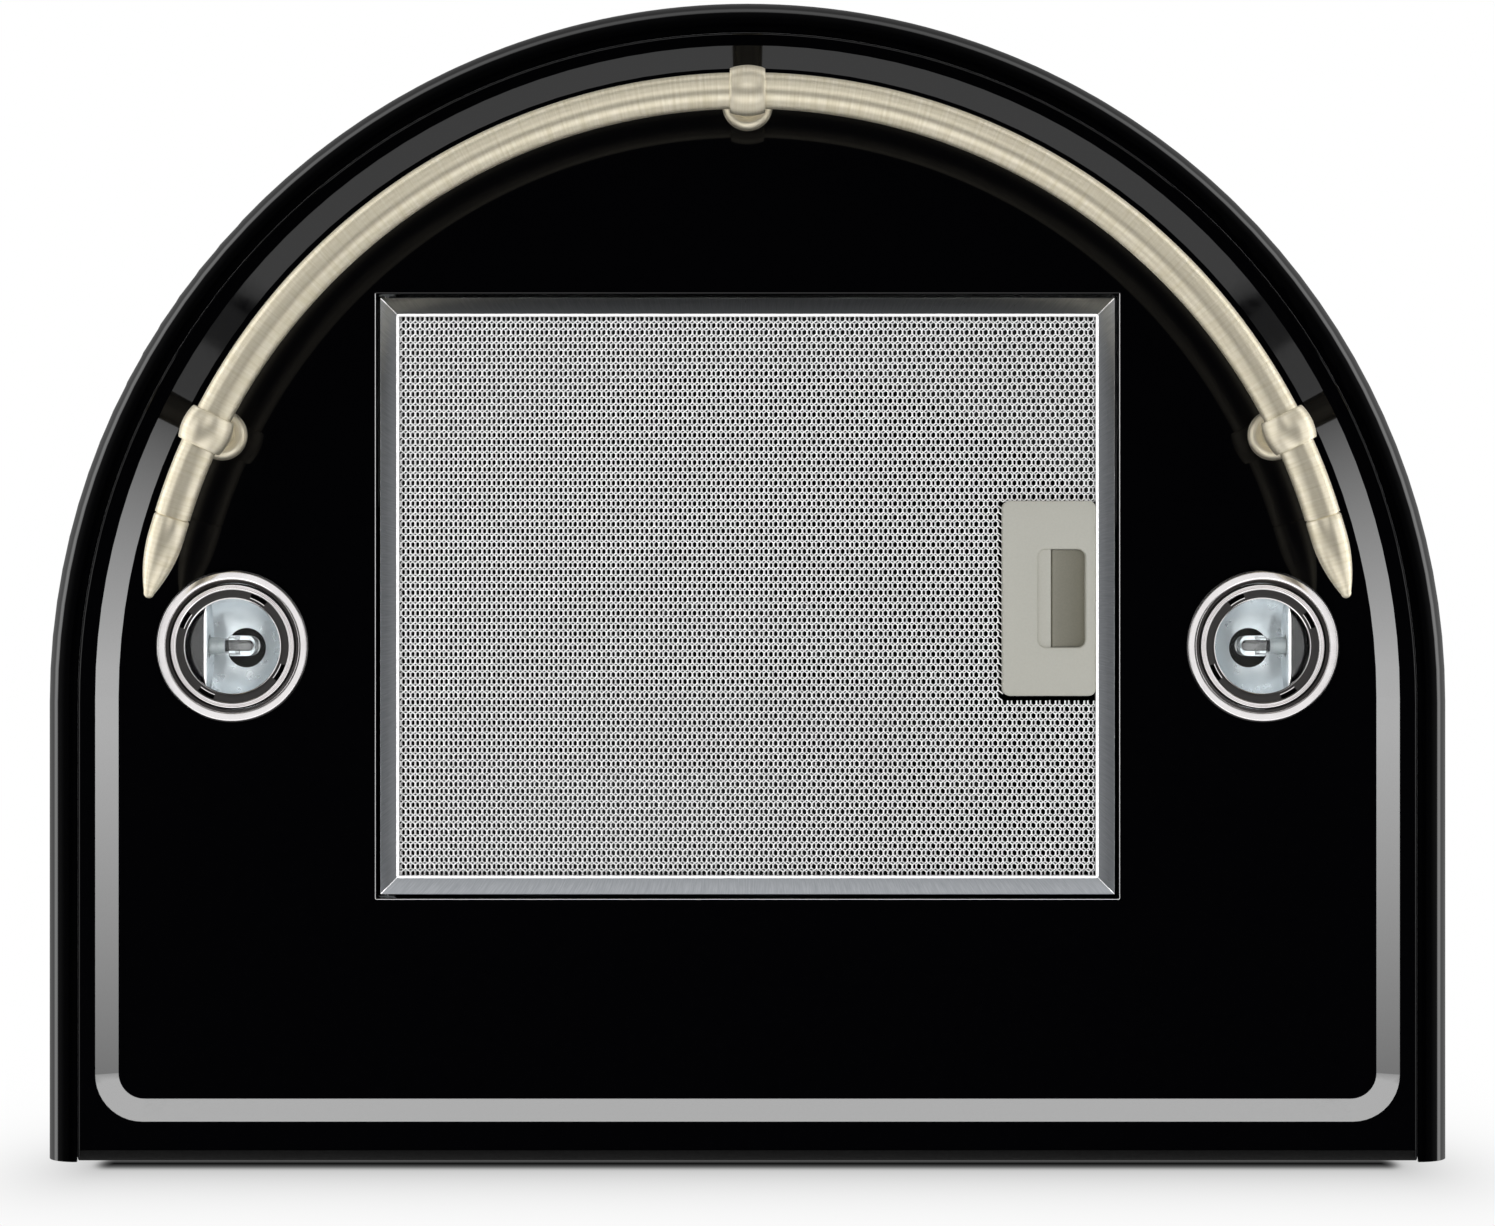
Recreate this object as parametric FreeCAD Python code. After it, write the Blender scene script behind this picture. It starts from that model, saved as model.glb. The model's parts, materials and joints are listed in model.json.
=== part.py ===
import FreeCAD, Part

# Wall range hood with an arched plan, a grab rail under its rim, a hinged
# grease filter, two round lamps and a blower that feeds a round duct.
#
# X runs to the right, Y into the wall and Z up. The wall is the plane y = 0
# and the hood stands in front of it, towards -Y. The origin is midway between
# the two keyholes of the back plate. Shapes are modelled with z = 0 at the
# rim and lowered by hang_drop when they are written. Lengths are millimetres,
# angles degrees.

import math
import os

from FreeCAD import Placement, Rotation, Vector

# Clearances and cuts
fit_gap = 0.3            # between pieces that fit together
running_gap = 0.05       # radial play of a shaft or pin in its bore
overrun = 5.0            # how far a cut runs past a face
same_point = 1e-6        # points closer than this are one point

# Canopy shell
hood_width = 600.0
hood_depth = 496.0
canopy_height = 300.0
band_height = 70.0
shell_sheet = 1.2
rim_radius = 14.0
ledge_width = 5.5        # inner ledge that the underside panel seats against
neck_width = 262.0
neck_depth = 236.0
neck_ledge = 20.0        # width of the ledge that the chimney stands on
neck_back_gap = 10.0     # from the wall to the opening in that ledge
bell_power = 2.2
bell_height_shares = (0.0, 0.12, 0.28, 0.48, 0.72, 1.0)

# Back plate
back_sheet = 1.5
wall_roll = 5.0          # radius of the plate's rolled lower edge
back_ledge = 6.0
keyhole_top_gap = 38.0   # from the canopy's top down to the keyholes
keyhole_spacing = 160.0
keyhole_slot_radius = 4.0
keyhole_entry_radius = 7.0
keyhole_drop = 11.0      # from the slot's centre down to the entry's centre
security_hole_radius = 3.0
security_hole_height = 42.0
security_hole_spacing = 400.0

# Underside panel
panel_sheet = 1.0
recess_depth = 5.0
recess_side_gap = 22.0   # from the hood's side to the recess
recess_front_gap = 20.0
recess_back_gap = 17.3
recess_corner = 20.0
recess_slope = 9.0       # width of the sloping band round the recess
opening_side_gap = 141.0 # from the hood's side to the filter opening
opening_depth = 259.0
opening_corner = 4.0
opening_flange = 9.0     # height of the flange round the filter opening
filter_forward = 45.3    # filter centre in front of the arch centre

# Filter
filter_gap = 1.8         # between the filter frame and its opening
filter_drop = 0.4        # how far the frame stands below the panel
frame_height = 9.4
frame_member = 8.0
frame_corner = 3.0
frame_ridge = 0.8        # flat ridge of the frame's face beside the mesh
frame_fall = 1.2         # how far the face falls back from the ridge to the outer edge
mesh_rabbet = 2.0        # step that holds the mesh edges
mesh_level = 5.0         # lower face of the front mesh above the frame's face
mesh_sheet = 0.8
mesh_spacing = 2.0
hinge_inset = 2.6        # pin axis from the frame's left face
hinge_level = 3.0        # pin axis above the frame's lower face
hinge_pin_radius = 1.2
lug_thickness = 1.2
lug_width = 7.0
lug_height = 7.0
lug_lift = 0.8           # from the panel's lower face to the lug

# Filter latch
latch_width = 40.0
latch_length = 83.5
latch_corner = 3.2
latch_rise = 0.8         # latch plate's face above the frame's face
latch_wall = 1.5
latch_offset_y = 1.0     # towards the wall from the filter's centre line
pocket_width = 20.5
pocket_length = 42.0
pocket_corner = 3.4
pocket_inset = 4.4       # from the plate's right edge to the pocket
slideway_depth = 5.7
slider_width = 14.5
slider_rise = 0.4        # slider's face behind the plate's front wall
slider_scoop_radius = 26.0
slider_scoop_depth = 1.2
bolt_width = 12.0
bolt_thickness = 2.4
bolt_level = 4.9
bolt_setback = 0.3       # tip of the released bolt inside the frame's face
latch_travel = 3.3
latch_play = 0.2         # left at the end of the travel

# Lamps
lamp_side_gap = 79.75    # from the hood's side to the lamp's axis
lamp_forward = 23.8      # lamps in front of the arch centre
lamp_trim_radius = 32.4
lamp_trim_depth = 2.6
lamp_trim_crown = 1.2
lamp_sleeve_radius = 28.4
lamp_sleeve_wall = 1.2
retainer_bore = 20.6
retainer_face = 1.6      # retainer's face above the trim's lowest point
retainer_plate = 1.8
retainer_wall = 1.3
retainer_height = 8.0
retainer_slot_length = 6.0
retainer_slot_width = 2.6
retainer_slot_offset = 23.0
retainer_slot_turn = 29.0
glass_radius = 24.0
glass_thickness = 2.0
housing_radius = 33.0
housing_flange = 4.0
housing_height = 36.0
housing_sheet = 1.0
housing_corner = 6.0
reflector_radius = 27.5
reflector_height = 24.0
reflector_sheet = 0.8
reflector_lift = 1.0     # between the retainer and the reflector's rim
reflector_chord = 13.0   # flat side of the bowl, from the lamp's centre
reflector_vent_radius = 8.6
reflector_vent_x = -1.6  # vent from the lamp's centre, outwards and towards the wall
reflector_vent_y = 1.0
shield_sheet = 0.8
shield_seat = 0.5        # how far the shield lies on the trim's sleeve
bulb_radius = 4.5
bulb_length = 23.0
bulb_height = 8.0        # bulb axis above the reflector's rim
bulb_pin_radius = 0.5
bulb_pin_spacing = 4.0
bulb_pin_length = 6.0
socket_depth = 9.0
socket_width = 17.0
socket_height = 10.0

# Grab rail
rail_inset = 50.6        # from the hood's side to the rail's line
rail_forward = 5.5       # rail centre in front of the arch centre
rail_drop = 39.0
tube_radius = 7.5
tube_wall = 1.2
rail_half_angle = 73.0
bracket_angle = 64.2
rail_end_length = 35.5
rail_end_cylinder = 8.0
rail_end_neck = 0.6      # depth of the groove at the joint with the tube
rail_end_tip = 2.2
spigot_length = 10.0
collar_radius = 10.5
collar_width = 14.7
collar_barrel = 1.3      # how far the collar swells at its middle
neck_radius = 5.85
rosette_radius = 10.8
rosette_height = 5.0
rosette_edge = 1.4
rail_screw_radius = 2.5
rail_screw_depth = 16.0

# Chimney
chimney_width = 250.0
chimney_depth = 230.0
chimney_sheet = 1.0
chimney_lower_height = 350.0
chimney_upper_height = 364.0
chimney_flange = 12.0
chimney_nest_gap = 1.0
chimney_wall_gap = 1.5   # back of the upper chimney in front of the wall
chimney_tab = 12.0
chimney_tab_y = -60.0
vent_count = 6
vent_length = 50.0
vent_width = 5.0
vent_pitch = 12.0
vent_top_gap = 24.0
vent_centre_y = -55.0
bracket_sheet = 1.5
bracket_height = 26.0
bracket_ear = 24.0
bracket_top_gap = 6.0
bracket_hole_radius = 3.0

# Blower
blower_x = -54.0
blower_y = -115.0        # middle of the scroll's width
blower_height = 135.0
scroll_width = 100.0
scroll_sheet = 1.2
scroll_radius = 88.0
scroll_growth = 10.0       # of the scroll's radius in a quarter turn
scroll_top = 243.0
scroll_rib = 6.0         # flange where the halves meet
inlet_radius = 56.0
inlet_roll = 4.0
wheel_radius = 75.0
wheel_width = 84.0
wheel_ring = 6.0
wheel_ring_width = 3.0
wheel_disc = 2.0
blade_count = 32
blade_depth = 13.0
blade_sheet = 1.0
blade_lean = 9.0
blade_middle_share = 0.2
hub_radius = 12.0
hub_length = 11.0
shaft_radius = 4.0
nut_radius = 8.0
nut_height = 6.0
motor_radius = 36.0
motor_length = 68.0
motor_gap = 2.0          # between the wheel's hub and the motor
motor_corner = 6.0
motor_boss_radius = 12.0
motor_boss_height = 5.0
motor_bore = 34.0        # how far the shaft's bore reaches into the motor
spider_ring = 8.0
spider_arm = 14.0
spider_radius = 74.0
spider_sheet = 2.5
spider_angles = (90.0, 210.0, 330.0)
mount_sheet = 2.0
mount_height = 34.0
mount_foot = 16.0
mount_left_width = 90.0
mount_right_width = 100.0

# Duct collar and non-return flaps
outlet_flange = 160.0
outlet_flange_sheet = 2.0
duct_radius = 75.0
collar_wall = 1.5
collar_height = 85.0
flap_level = 55.0        # pin axis above the collar's base
flap_radius = 72.6
flap_sheet = 1.2
flap_pin_radius = 1.5
flap_loop_wall = 1.5
flap_loop_length = 14.0
flap_hinge_gap = 0.6
stop_width = 2.2
stop_height = 1.5

# Electrical parts on the back plate
transformer_x = 150.0
transformer_height = 24.0
transformer_width = 52.0
transformer_rise = 44.0
transformer_core = 20.0
transformer_coil = 40.0
transformer_coil_share = 0.7
transformer_foot = 9.0
foot_sheet = 1.5
terminal_x = 80.0
terminal_height = 20.0
terminal_width = 62.0
terminal_rise = 46.0
terminal_depth = 34.0
terminal_lid = 4.0
terminal_corner = 4.0
gland_radius = 9.0
gland_bore = 4.0
gland_nut_radius = 11.0
gland_nut_height = 6.0
gland_body_height = 12.0
gland_dome_height = 9.0
gland_dome_share = 0.6
capacitor_x = -165.0
capacitor_height = 14.0
capacitor_radius = 15.0
capacitor_length = 52.0
capacitor_cap = 3.0
clip_width = 12.0
clip_sheet = 1.5

# Controls in the front band
bezel_height = 24.0
bezel_level = 42.0       # middle of the bezel above the rim
bezel_half_angle = 15.0
bezel_proud = 2.0
bezel_collar = 4.0
collar_half_angle = 13.3
collar_rise = 18.0
button_angle = 5.2
button_width = 16.0
button_rise = 12.0
button_corner = 1.6
button_proud = 3.0
button_length = 15.0
button_flange = 1.2
button_flange_sheet = 2.0
button_travel = 3.5
switch_depth = 18.0
switch_rise = 28.0
switch_gap = 0.5         # between a pressed button and the switch block

# Values that follow from the sizes
half_width = hood_width / 2
arch_y = half_width - hood_depth
hang_drop = canopy_height - keyhole_top_gap
rail_arch_y = arch_y - rail_forward
rail_radius = half_width - rail_inset
opening_width = hood_width - 2 * opening_side_gap
filter_centre_y = arch_y - filter_forward
lamp_x = half_width - lamp_side_gap
lamp_y = arch_y - lamp_forward
panel_top = recess_depth + panel_sheet
filter_width = opening_width - 2 * filter_gap
filter_depth = opening_depth - 2 * filter_gap
filter_face = recess_depth - filter_drop
hinge_x = hinge_inset - filter_width / 2
hinge_z = filter_face + hinge_level
latch_right = filter_width / 2 - frame_member
latch_y = filter_centre_y + latch_offset_y
slideway_right = latch_right - pocket_inset + latch_travel + latch_play
wheel_inner = wheel_radius - blade_depth
wheel_disc_back = blower_y + wheel_disc / 2
shaft_length = nut_height + wheel_disc + hub_length + motor_gap + motor_bore - fit_gap
motor_front = wheel_disc_back + hub_length + motor_gap
scroll_back_y = blower_y + scroll_width / 2
collar_base = scroll_top + outlet_flange_sheet
flap_z = collar_base + flap_level
band_inner = half_width - shell_sheet
button_names = ("light", "off", "low", "medium", "high")

X_AXIS = Vector(1, 0, 0)
Y_AXIS = Vector(0, 1, 0)
Z_AXIS = Vector(0, 0, 1)


def polar(radius, degrees):
    """Point of the XZ plane at a radius and an angle from X towards Z."""
    turn = math.radians(degrees)
    return radius * math.cos(turn), radius * math.sin(turn)


def outline(start, *steps):
    """Face in the XZ plane. A step of two values ends a line, one of four an arc by its middle and end."""
    edges = []
    here = Vector(start[0], 0, start[1])
    for step in steps + (start,):
        end = Vector(step[-2], 0, step[-1])
        if len(step) == 4:
            edges.append(Part.Arc(here, Vector(step[0], 0, step[1]), end).toShape())
        elif (end - here).Length > same_point:
            edges.append(Part.makeLine(here, end))
        here = end
    return Part.Face(Part.Wire(edges))


def lathe(start, *steps):
    """Solid of revolution about Z from an outline of radii and heights."""
    return outline(start, *steps).revolve(Vector(), Z_AXIS, 360)


def ring(inner, outer, bottom, top):
    """Plain ring about Z."""
    return lathe((inner, bottom), (outer, bottom), (outer, top), (inner, top))


def aim(shape, base, direction):
    """Shape with its Z axis turned to a direction and its origin moved to a base point."""
    placed = shape.copy()
    placed.Placement = Placement(base, Rotation(Z_AXIS, direction)).multiply(placed.Placement)
    return placed


def moved(shape, x, y, z):
    """Copy of a shape, moved."""
    placed = shape.copy()
    placed.translate(Vector(x, y, z))
    return placed


def block(x_span, y_span, z_span):
    """Box between pairs of limits."""
    corner = Vector(x_span[0], y_span[0], z_span[0])
    size = (x_span[1] - x_span[0], y_span[1] - y_span[0], z_span[1] - z_span[0])
    return Part.makeBox(*size, corner)


def rounded_block(x_span, y_span, z_span, radius, along=Z_AXIS):
    """Box whose edges along one axis are rounded."""
    box = block(x_span, y_span, z_span)
    edges = []
    for edge in box.Edges:
        if edge.tangentAt(edge.FirstParameter).cross(along).Length < same_point:
            edges.append(edge)
    return box.makeFillet(radius, edges)


def span(middle, size):
    """Limits of a size centred on a place."""
    return middle - size / 2, middle + size / 2


def ordered(one, other):
    """Two limits, the lower first."""
    return (one, other) if one < other else (other, one)


def disc(radius, base, direction, length):
    """Cylinder from a base point."""
    return Part.makeCylinder(radius, length, base, direction)


def arch_wire(half, depth, z, back=0.0):
    """D outline: sides that run straight from the wall to a half-round front."""
    front_y = half - depth
    left_back = Vector(-half, back, z)
    left_front = Vector(-half, front_y, z)
    right_front = Vector(half, front_y, z)
    right_back = Vector(half, back, z)
    arc = Part.Arc(left_front, Vector(0, -depth, z), right_front).toShape()
    lines = [
        Part.makeLine(left_back, left_front),
        arc,
        Part.makeLine(right_front, right_back),
        Part.makeLine(right_back, left_back),
    ]
    return Part.Wire(lines)


def arch_prism(half, depth, bottom, top, back=0.0):
    """Upright prism of the D outline."""
    return Part.Face(arch_wire(half, depth, bottom, back)).extrude(Vector(0, 0, top - bottom))


def arch_sweep(start, *steps):
    """Profile of insets from the hood's side and heights, carried along the rim from wall to wall."""
    profile = outline(start, *steps)
    profile.rotate(Vector(), Z_AXIS, 180)
    profile.translate(Vector(half_width, arch_y, 0))
    right = profile.extrude(Vector(0, -arch_y, 0))
    front = profile.revolve(Vector(0, arch_y, 0), -Z_AXIS, 180)
    left = right.mirror(Vector(), X_AXIS)
    return front.fuse([right, left]).removeSplitter()


def arch_block(inner, outer, half_angle, z_span):
    """Curved block about the arch's axis, centred on the front."""
    corners = [
        Vector(0, arch_y - outer, z_span[0]),
        Vector(0, arch_y - inner, z_span[0]),
        Vector(0, arch_y - inner, z_span[1]),
        Vector(0, arch_y - outer, z_span[1]),
    ]
    section = Part.Face(Part.makePolygon(corners + corners[:1]))
    axis = Vector(0, arch_y, 0)
    section.rotate(axis, Z_AXIS, -half_angle)
    return section.revolve(axis, Z_AXIS, 2 * half_angle)


def round_front(shape, degrees):
    """Copy of a shape at the middle of the front, turned about the arch's axis."""
    turned = shape.copy()
    turned.rotate(Vector(0, arch_y, 0), Z_AXIS, degrees)
    return turned


def bell(inset, drop, back=0.0):
    """Bell between the band and the neck, shrunk by an inset and lowered by a drop."""
    wires = []
    for share in bell_height_shares:
        closeness = (1 - share) ** bell_power
        half = neck_width / 2 + (half_width - neck_width / 2) * closeness
        depth = neck_depth + (hood_depth - neck_depth) * closeness
        z = band_height + (canopy_height - band_height) * share
        wires.append(arch_wire(half - inset, depth - inset, z - drop, back))
    return Part.makeLoft(wires, True, False)


def canopy_shell():
    """Rolled rim with its inner ledge, upright band, bell and the ledge round the neck."""
    inner_radius = rim_radius - shell_sheet
    ledge_top = panel_sheet + shell_sheet
    run = math.sqrt(inner_radius ** 2 - (rim_radius - ledge_top) ** 2)
    middle, rise = polar(rim_radius, 225)
    inner_turn = 180 + math.degrees(math.asin((rim_radius - ledge_top) / inner_radius)) / 2
    inner_middle, inner_rise = polar(inner_radius, inner_turn)
    rim = arch_sweep(
        (0, band_height),
        (0, rim_radius),
        (rim_radius + middle, rim_radius + rise, rim_radius, 0),
        (rim_radius, panel_sheet),
        (rim_radius + ledge_width, panel_sheet),
        (rim_radius + ledge_width, ledge_top),
        (rim_radius - run, ledge_top),
        (rim_radius + inner_middle, rim_radius + inner_rise, shell_sheet, rim_radius),
        (shell_sheet, band_height),
    )
    front_half = block((-hood_width, hood_width), (-2 * hood_depth, 0), (0, 2 * canopy_height))
    skin = bell(0, 0, overrun).cut(bell(shell_sheet, shell_sheet, 2 * overrun)).common(front_half)
    shell = rim.fuse(skin)
    neck = arch_prism(
        neck_width / 2 - neck_ledge,
        neck_depth - neck_ledge,
        canopy_height - overrun,
        canopy_height + overrun,
        -neck_back_gap,
    )
    corners = block(
        (rim_radius - half_width, half_width - rim_radius),
        (-wall_roll - back_ledge - fit_gap, overrun),
        (0, ledge_top + fit_gap),
    )
    screws = [chimney_screw(side) for side in (-1, 1)]
    return shell.cut([neck, corners, bezel_slot(fit_gap), *screws]).removeSplitter()


def bezel_slot(gap):
    """Slot in the front band that the bezel's collar passes through."""
    rise = collar_rise + 2 * gap
    angle = collar_half_angle + math.degrees(gap / half_width)
    return arch_block(band_inner - bezel_collar, half_width + overrun, angle, span(bezel_level, rise))


def back_plate():
    """Sheet against the wall inside the shell, with a rolled lower edge, a ledge and keyholes."""
    inset = shell_sheet + fit_gap
    slab = block((-half_width, half_width), (-back_sheet, 0), (0, canopy_height))
    sheet = bell(inset, inset, overrun).common(slab)
    band = block(span(0, hood_width - 2 * inset), (-back_sheet, 0), (rim_radius, band_height - inset))
    inner = wall_roll - back_sheet
    ledge_top = panel_sheet + back_sheet
    middle, rise = polar(wall_roll, 315)
    edge_turn = 360 - math.degrees(math.asin((wall_roll - ledge_top) / inner))
    inner_middle, inner_rise = polar(inner, (360 + edge_turn) / 2)
    inner_run, _ = polar(inner, edge_turn)
    roll = outline(
        (0, rim_radius),
        (0, wall_roll),
        (middle - wall_roll, wall_roll + rise, -wall_roll, 0),
        (-wall_roll, panel_sheet),
        (-wall_roll - back_ledge, panel_sheet),
        (-wall_roll - back_ledge, ledge_top),
        (inner_run - wall_roll, ledge_top),
        (inner_middle - wall_roll, wall_roll + inner_rise, -back_sheet, wall_roll),
        (-back_sheet, rim_radius),
    )
    roll.rotate(Vector(), Z_AXIS, 90)
    reach = half_width - rim_radius - fit_gap
    roll.translate(Vector(-reach, 0, 0))
    plate = sheet.fuse([band, roll.extrude(Vector(2 * reach, 0, 0))]).removeSplitter()
    holes = []
    for side in (-1, 1):
        holes.append(keyhole(side * keyhole_spacing / 2))
        place = Vector(side * security_hole_spacing / 2, -back_sheet - overrun, security_hole_height)
        holes.append(disc(security_hole_radius, place, Y_AXIS, back_sheet + 2 * overrun))
    return plate.cut(holes)


def keyhole(x):
    """Keyhole cutter: a round entry below a narrower slot."""
    base = -back_sheet - overrun
    depth = back_sheet + 2 * overrun
    entry_height = hang_drop - keyhole_drop
    slot = disc(keyhole_slot_radius, Vector(x, base, hang_drop), Y_AXIS, depth)
    entry = disc(keyhole_entry_radius, Vector(x, base, entry_height), Y_AXIS, depth)
    throat = block(span(x, 2 * keyhole_slot_radius), (base, base + depth), (entry_height, hang_drop))
    return slot.fuse([entry, throat])


def recess_wire(inset, z):
    """Outline of the recess: a D with rounded corners at the wall side."""
    half = half_width - recess_side_gap - inset
    front = recess_front_gap - hood_depth + inset
    back = -recess_back_gap - inset
    corner = recess_corner - inset
    shoulder = front + half
    bend = corner * (1 - math.sqrt(0.5))
    points = {
        "left": Vector(-half, shoulder, z),
        "right": Vector(half, shoulder, z),
        "right_low": Vector(half, back - corner, z),
        "back_right": Vector(half - corner, back, z),
        "back_left": Vector(corner - half, back, z),
        "left_low": Vector(-half, back - corner, z),
    }
    return Part.Wire([
        Part.Arc(points["left"], Vector(0, front, z), points["right"]).toShape(),
        Part.makeLine(points["right"], points["right_low"]),
        Part.Arc(points["right_low"], Vector(half - bend, back - bend, z), points["back_right"]).toShape(),
        Part.makeLine(points["back_right"], points["back_left"]),
        Part.Arc(points["back_left"], Vector(bend - half, back - bend, z), points["left_low"]).toShape(),
        Part.makeLine(points["left_low"], points["left"]),
    ])


def opening_block(grow, z_span):
    """Block of the filter opening, grown on every side."""
    x_span = span(0, opening_width + 2 * grow)
    y_span = span(filter_centre_y, opening_depth + 2 * grow)
    return rounded_block(x_span, y_span, z_span, opening_corner + grow)


def underside_panel():
    """Flat edge, sloping band and recessed sheet with the filter opening, lamp holes and rail holes."""
    inset = rim_radius + fit_gap
    edge = arch_prism(half_width - inset, hood_depth - inset, 0, panel_sheet, -wall_roll - fit_gap)
    dish = Part.makeLoft([recess_wire(0, 0), recess_wire(recess_slope, recess_depth)], True, True)
    flange = opening_block(panel_sheet, (recess_depth, recess_depth + opening_flange))
    panel = edge.fuse([moved(dish, 0, 0, panel_sheet), flange]).cut(dish)
    holes = [opening_block(0, (-overrun, canopy_height))]
    catch = block(
        (opening_width / 2 - overrun, opening_width / 2 + overrun),
        span(latch_y, bolt_width + overrun),
        span(filter_face + bolt_level + bolt_thickness / 2, bolt_thickness + 2 * filter_drop),
    )
    holes.append(catch)
    for side in (-1, 1):
        base = Vector(side * lamp_x, lamp_y, 0)
        holes.append(disc(lamp_sleeve_radius + running_gap, base, Z_AXIS, panel_top + overrun))
    for x, y, _ in bracket_places():
        holes.append(disc(rail_screw_radius, Vector(x, y, 0), Z_AXIS, panel_top + overrun))
    return panel.cut(holes).removeSplitter()


def bracket_places():
    """X, Y and angle of each rail bracket."""
    places = []
    for angle in (-bracket_angle, 0, bracket_angle):
        turn = math.radians(angle)
        places.append((rail_radius * math.sin(turn), rail_arch_y - rail_radius * math.cos(turn), angle))
    return places


def rail_bar(radius):
    """Round bar on the rail's line."""
    circle = Part.makeCircle(radius, Vector(0, rail_arch_y - rail_radius, -rail_drop), X_AXIS)
    section = Part.Face(Part.Wire(circle))
    centre = Vector(0, rail_arch_y, 0)
    section.rotate(centre, Z_AXIS, -rail_half_angle)
    return section.revolve(centre, Z_AXIS, 2 * rail_half_angle)


def rail_tube():
    """Tube bent to an arc under the rim."""
    return rail_bar(tube_radius).cut(rail_bar(tube_radius - tube_wall))


def rail_end(side):
    """Bullet-shaped end with a groove at the joint and a spigot inside the tube."""
    waist = tube_radius - rail_end_neck
    spigot = tube_radius - tube_wall - running_gap
    tip_start = rail_end_length - rail_end_tip
    taper = tip_start - rail_end_cylinder
    narrowing = tube_radius - rail_end_tip
    ogive = (taper ** 2 + narrowing ** 2) / (2 * narrowing)
    half_way = tube_radius - ogive + math.sqrt(ogive ** 2 - taper ** 2 / 4)
    tip_side = rail_end_tip * math.sqrt(0.5)
    body = lathe(
        (0, -spigot_length),
        (spigot, -spigot_length),
        (spigot, 0),
        (waist, 0),
        (waist, rail_end_neck),
        (tube_radius, 2 * rail_end_neck),
        (tube_radius, rail_end_cylinder),
        (half_way, rail_end_cylinder + taper / 2, rail_end_tip, tip_start),
        (tip_side, tip_start + tip_side, 0, rail_end_length),
    )
    turn = math.radians(side * rail_half_angle)
    base = Vector(rail_radius * math.sin(turn), rail_arch_y - rail_radius * math.cos(turn), -rail_drop)
    return aim(body, base, Vector(side * math.cos(turn), side * math.sin(turn), 0))


def rail_bracket(x, y, angle):
    """Barrel-shaped collar round the tube with a neck up to the panel."""
    edge = collar_radius - collar_barrel
    half = collar_width / 2
    barrel = lathe((0, -half), (edge, -half), (collar_radius, 0, edge, half), (0, half))
    turn = math.radians(angle)
    centre = Vector(x, y, -rail_drop)
    collar = aim(barrel, centre, Vector(math.cos(turn), math.sin(turn), 0))
    neck = disc(neck_radius, centre, Z_AXIS, rail_drop + recess_depth)
    screw_top = recess_depth - rail_screw_depth
    screw_hole = disc(rail_screw_radius, Vector(x, y, screw_top), Z_AXIS, rail_screw_depth + overrun)
    return collar.fuse(neck).cut([rail_bar(tube_radius), screw_hole]).removeSplitter()


def rosette(x, y):
    """Shallow dome round a rail bracket's neck, seated on the panel."""
    crown = neck_radius + rosette_edge
    middle = ((rosette_radius + crown) / 2 + rosette_edge / 2, (rosette_height + rosette_edge) / 2)
    dome = lathe(
        (neck_radius, 0),
        (rosette_radius, 0),
        (rosette_radius, rosette_edge),
        (*middle, crown, rosette_height),
        (neck_radius, rosette_height),
    )
    return aim(dome, Vector(x, y, recess_depth), -Z_AXIS)


def screw(shank_radius, shank_length, head_radius, head_height):
    """Pan-head screw along Z with its head's underside at the origin and its shank below."""
    crown = head_radius / 2
    return lathe(
        (0, -shank_length),
        (shank_radius, -shank_length),
        (shank_radius, 0),
        (head_radius, 0),
        (head_radius * math.sqrt(0.75), head_height * math.sqrt(0.5), crown, head_height),
        (0, head_height),
    )


def rail_screws():
    """Screws from above the panel into the necks of the rail brackets."""
    one = screw(rail_screw_radius, rail_screw_depth + panel_sheet, 2 * rail_screw_radius, rail_screw_radius)
    return Part.makeCompound([moved(one, x, y, panel_top) for x, y, _ in bracket_places()])


def filter_block(inset, bottom, top, radius):
    """Block of the filter's plan, shrunk on every side, at heights above the frame's face."""
    x_span = span(0, filter_width - 2 * inset)
    y_span = span(filter_centre_y, filter_depth - 2 * inset)
    return rounded_block(x_span, y_span, (filter_face + bottom, filter_face + top), radius)


def filter_rectangle(inset, height):
    """Rectangle of the filter's plan as a wire."""
    x_low, x_high = span(0, filter_width - 2 * inset)
    y_low, y_high = span(filter_centre_y, filter_depth - 2 * inset)
    z = filter_face + height
    places = ((x_low, y_low), (x_high, y_low), (x_high, y_high), (x_low, y_high), (x_low, y_low))
    return Part.makePolygon([Vector(x, y, z) for x, y in places])


def filter_frame():
    """Frame whose face falls back from a ridge beside the mesh to the outer edge, with a rabbet behind it."""
    ridge = filter_rectangle(frame_member - frame_ridge, 0)
    outer_edge = filter_rectangle(0, frame_fall)
    back_edge = filter_rectangle(0, frame_height)
    face = Part.makeLoft([ridge, outer_edge], True, True)
    sides = Part.makeLoft([outer_edge, back_edge], True, True)
    body = face.fuse(sides).common(filter_block(0, 0, frame_height, frame_corner))
    window = filter_block(frame_member, -overrun, frame_height + overrun, frame_corner / 2)
    rabbet = filter_block(frame_member - mesh_rabbet, mesh_level, frame_height + overrun, frame_corner / 2)
    frame = body.cut([window, rabbet, bolt_channel()])
    return frame.cut(hinge_pins_group())


def mesh_sheet_solid(level):
    """Envelope of one expanded mesh, notched round the latch plate."""
    inset = frame_member - mesh_rabbet + fit_gap / 2
    sheet = filter_block(inset, level, level + mesh_sheet, frame_corner / 2)
    x_span = (latch_right - latch_width - fit_gap, latch_right + mesh_rabbet + overrun)
    notch = block(x_span, span(latch_y, latch_length + 2 * fit_gap), (0, canopy_height))
    return sheet.cut(notch)


def hinge_pins_group():
    """Two pins in the left end of the frame."""
    length = frame_member + filter_gap - fit_gap
    pins = []
    for side in (-1, 1):
        inner = filter_centre_y + side * (filter_depth / 2 - frame_member)
        pins.append(disc(hinge_pin_radius, Vector(hinge_x, inner, hinge_z), Y_AXIS * side, length))
    return Part.makeCompound(pins)


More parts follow.
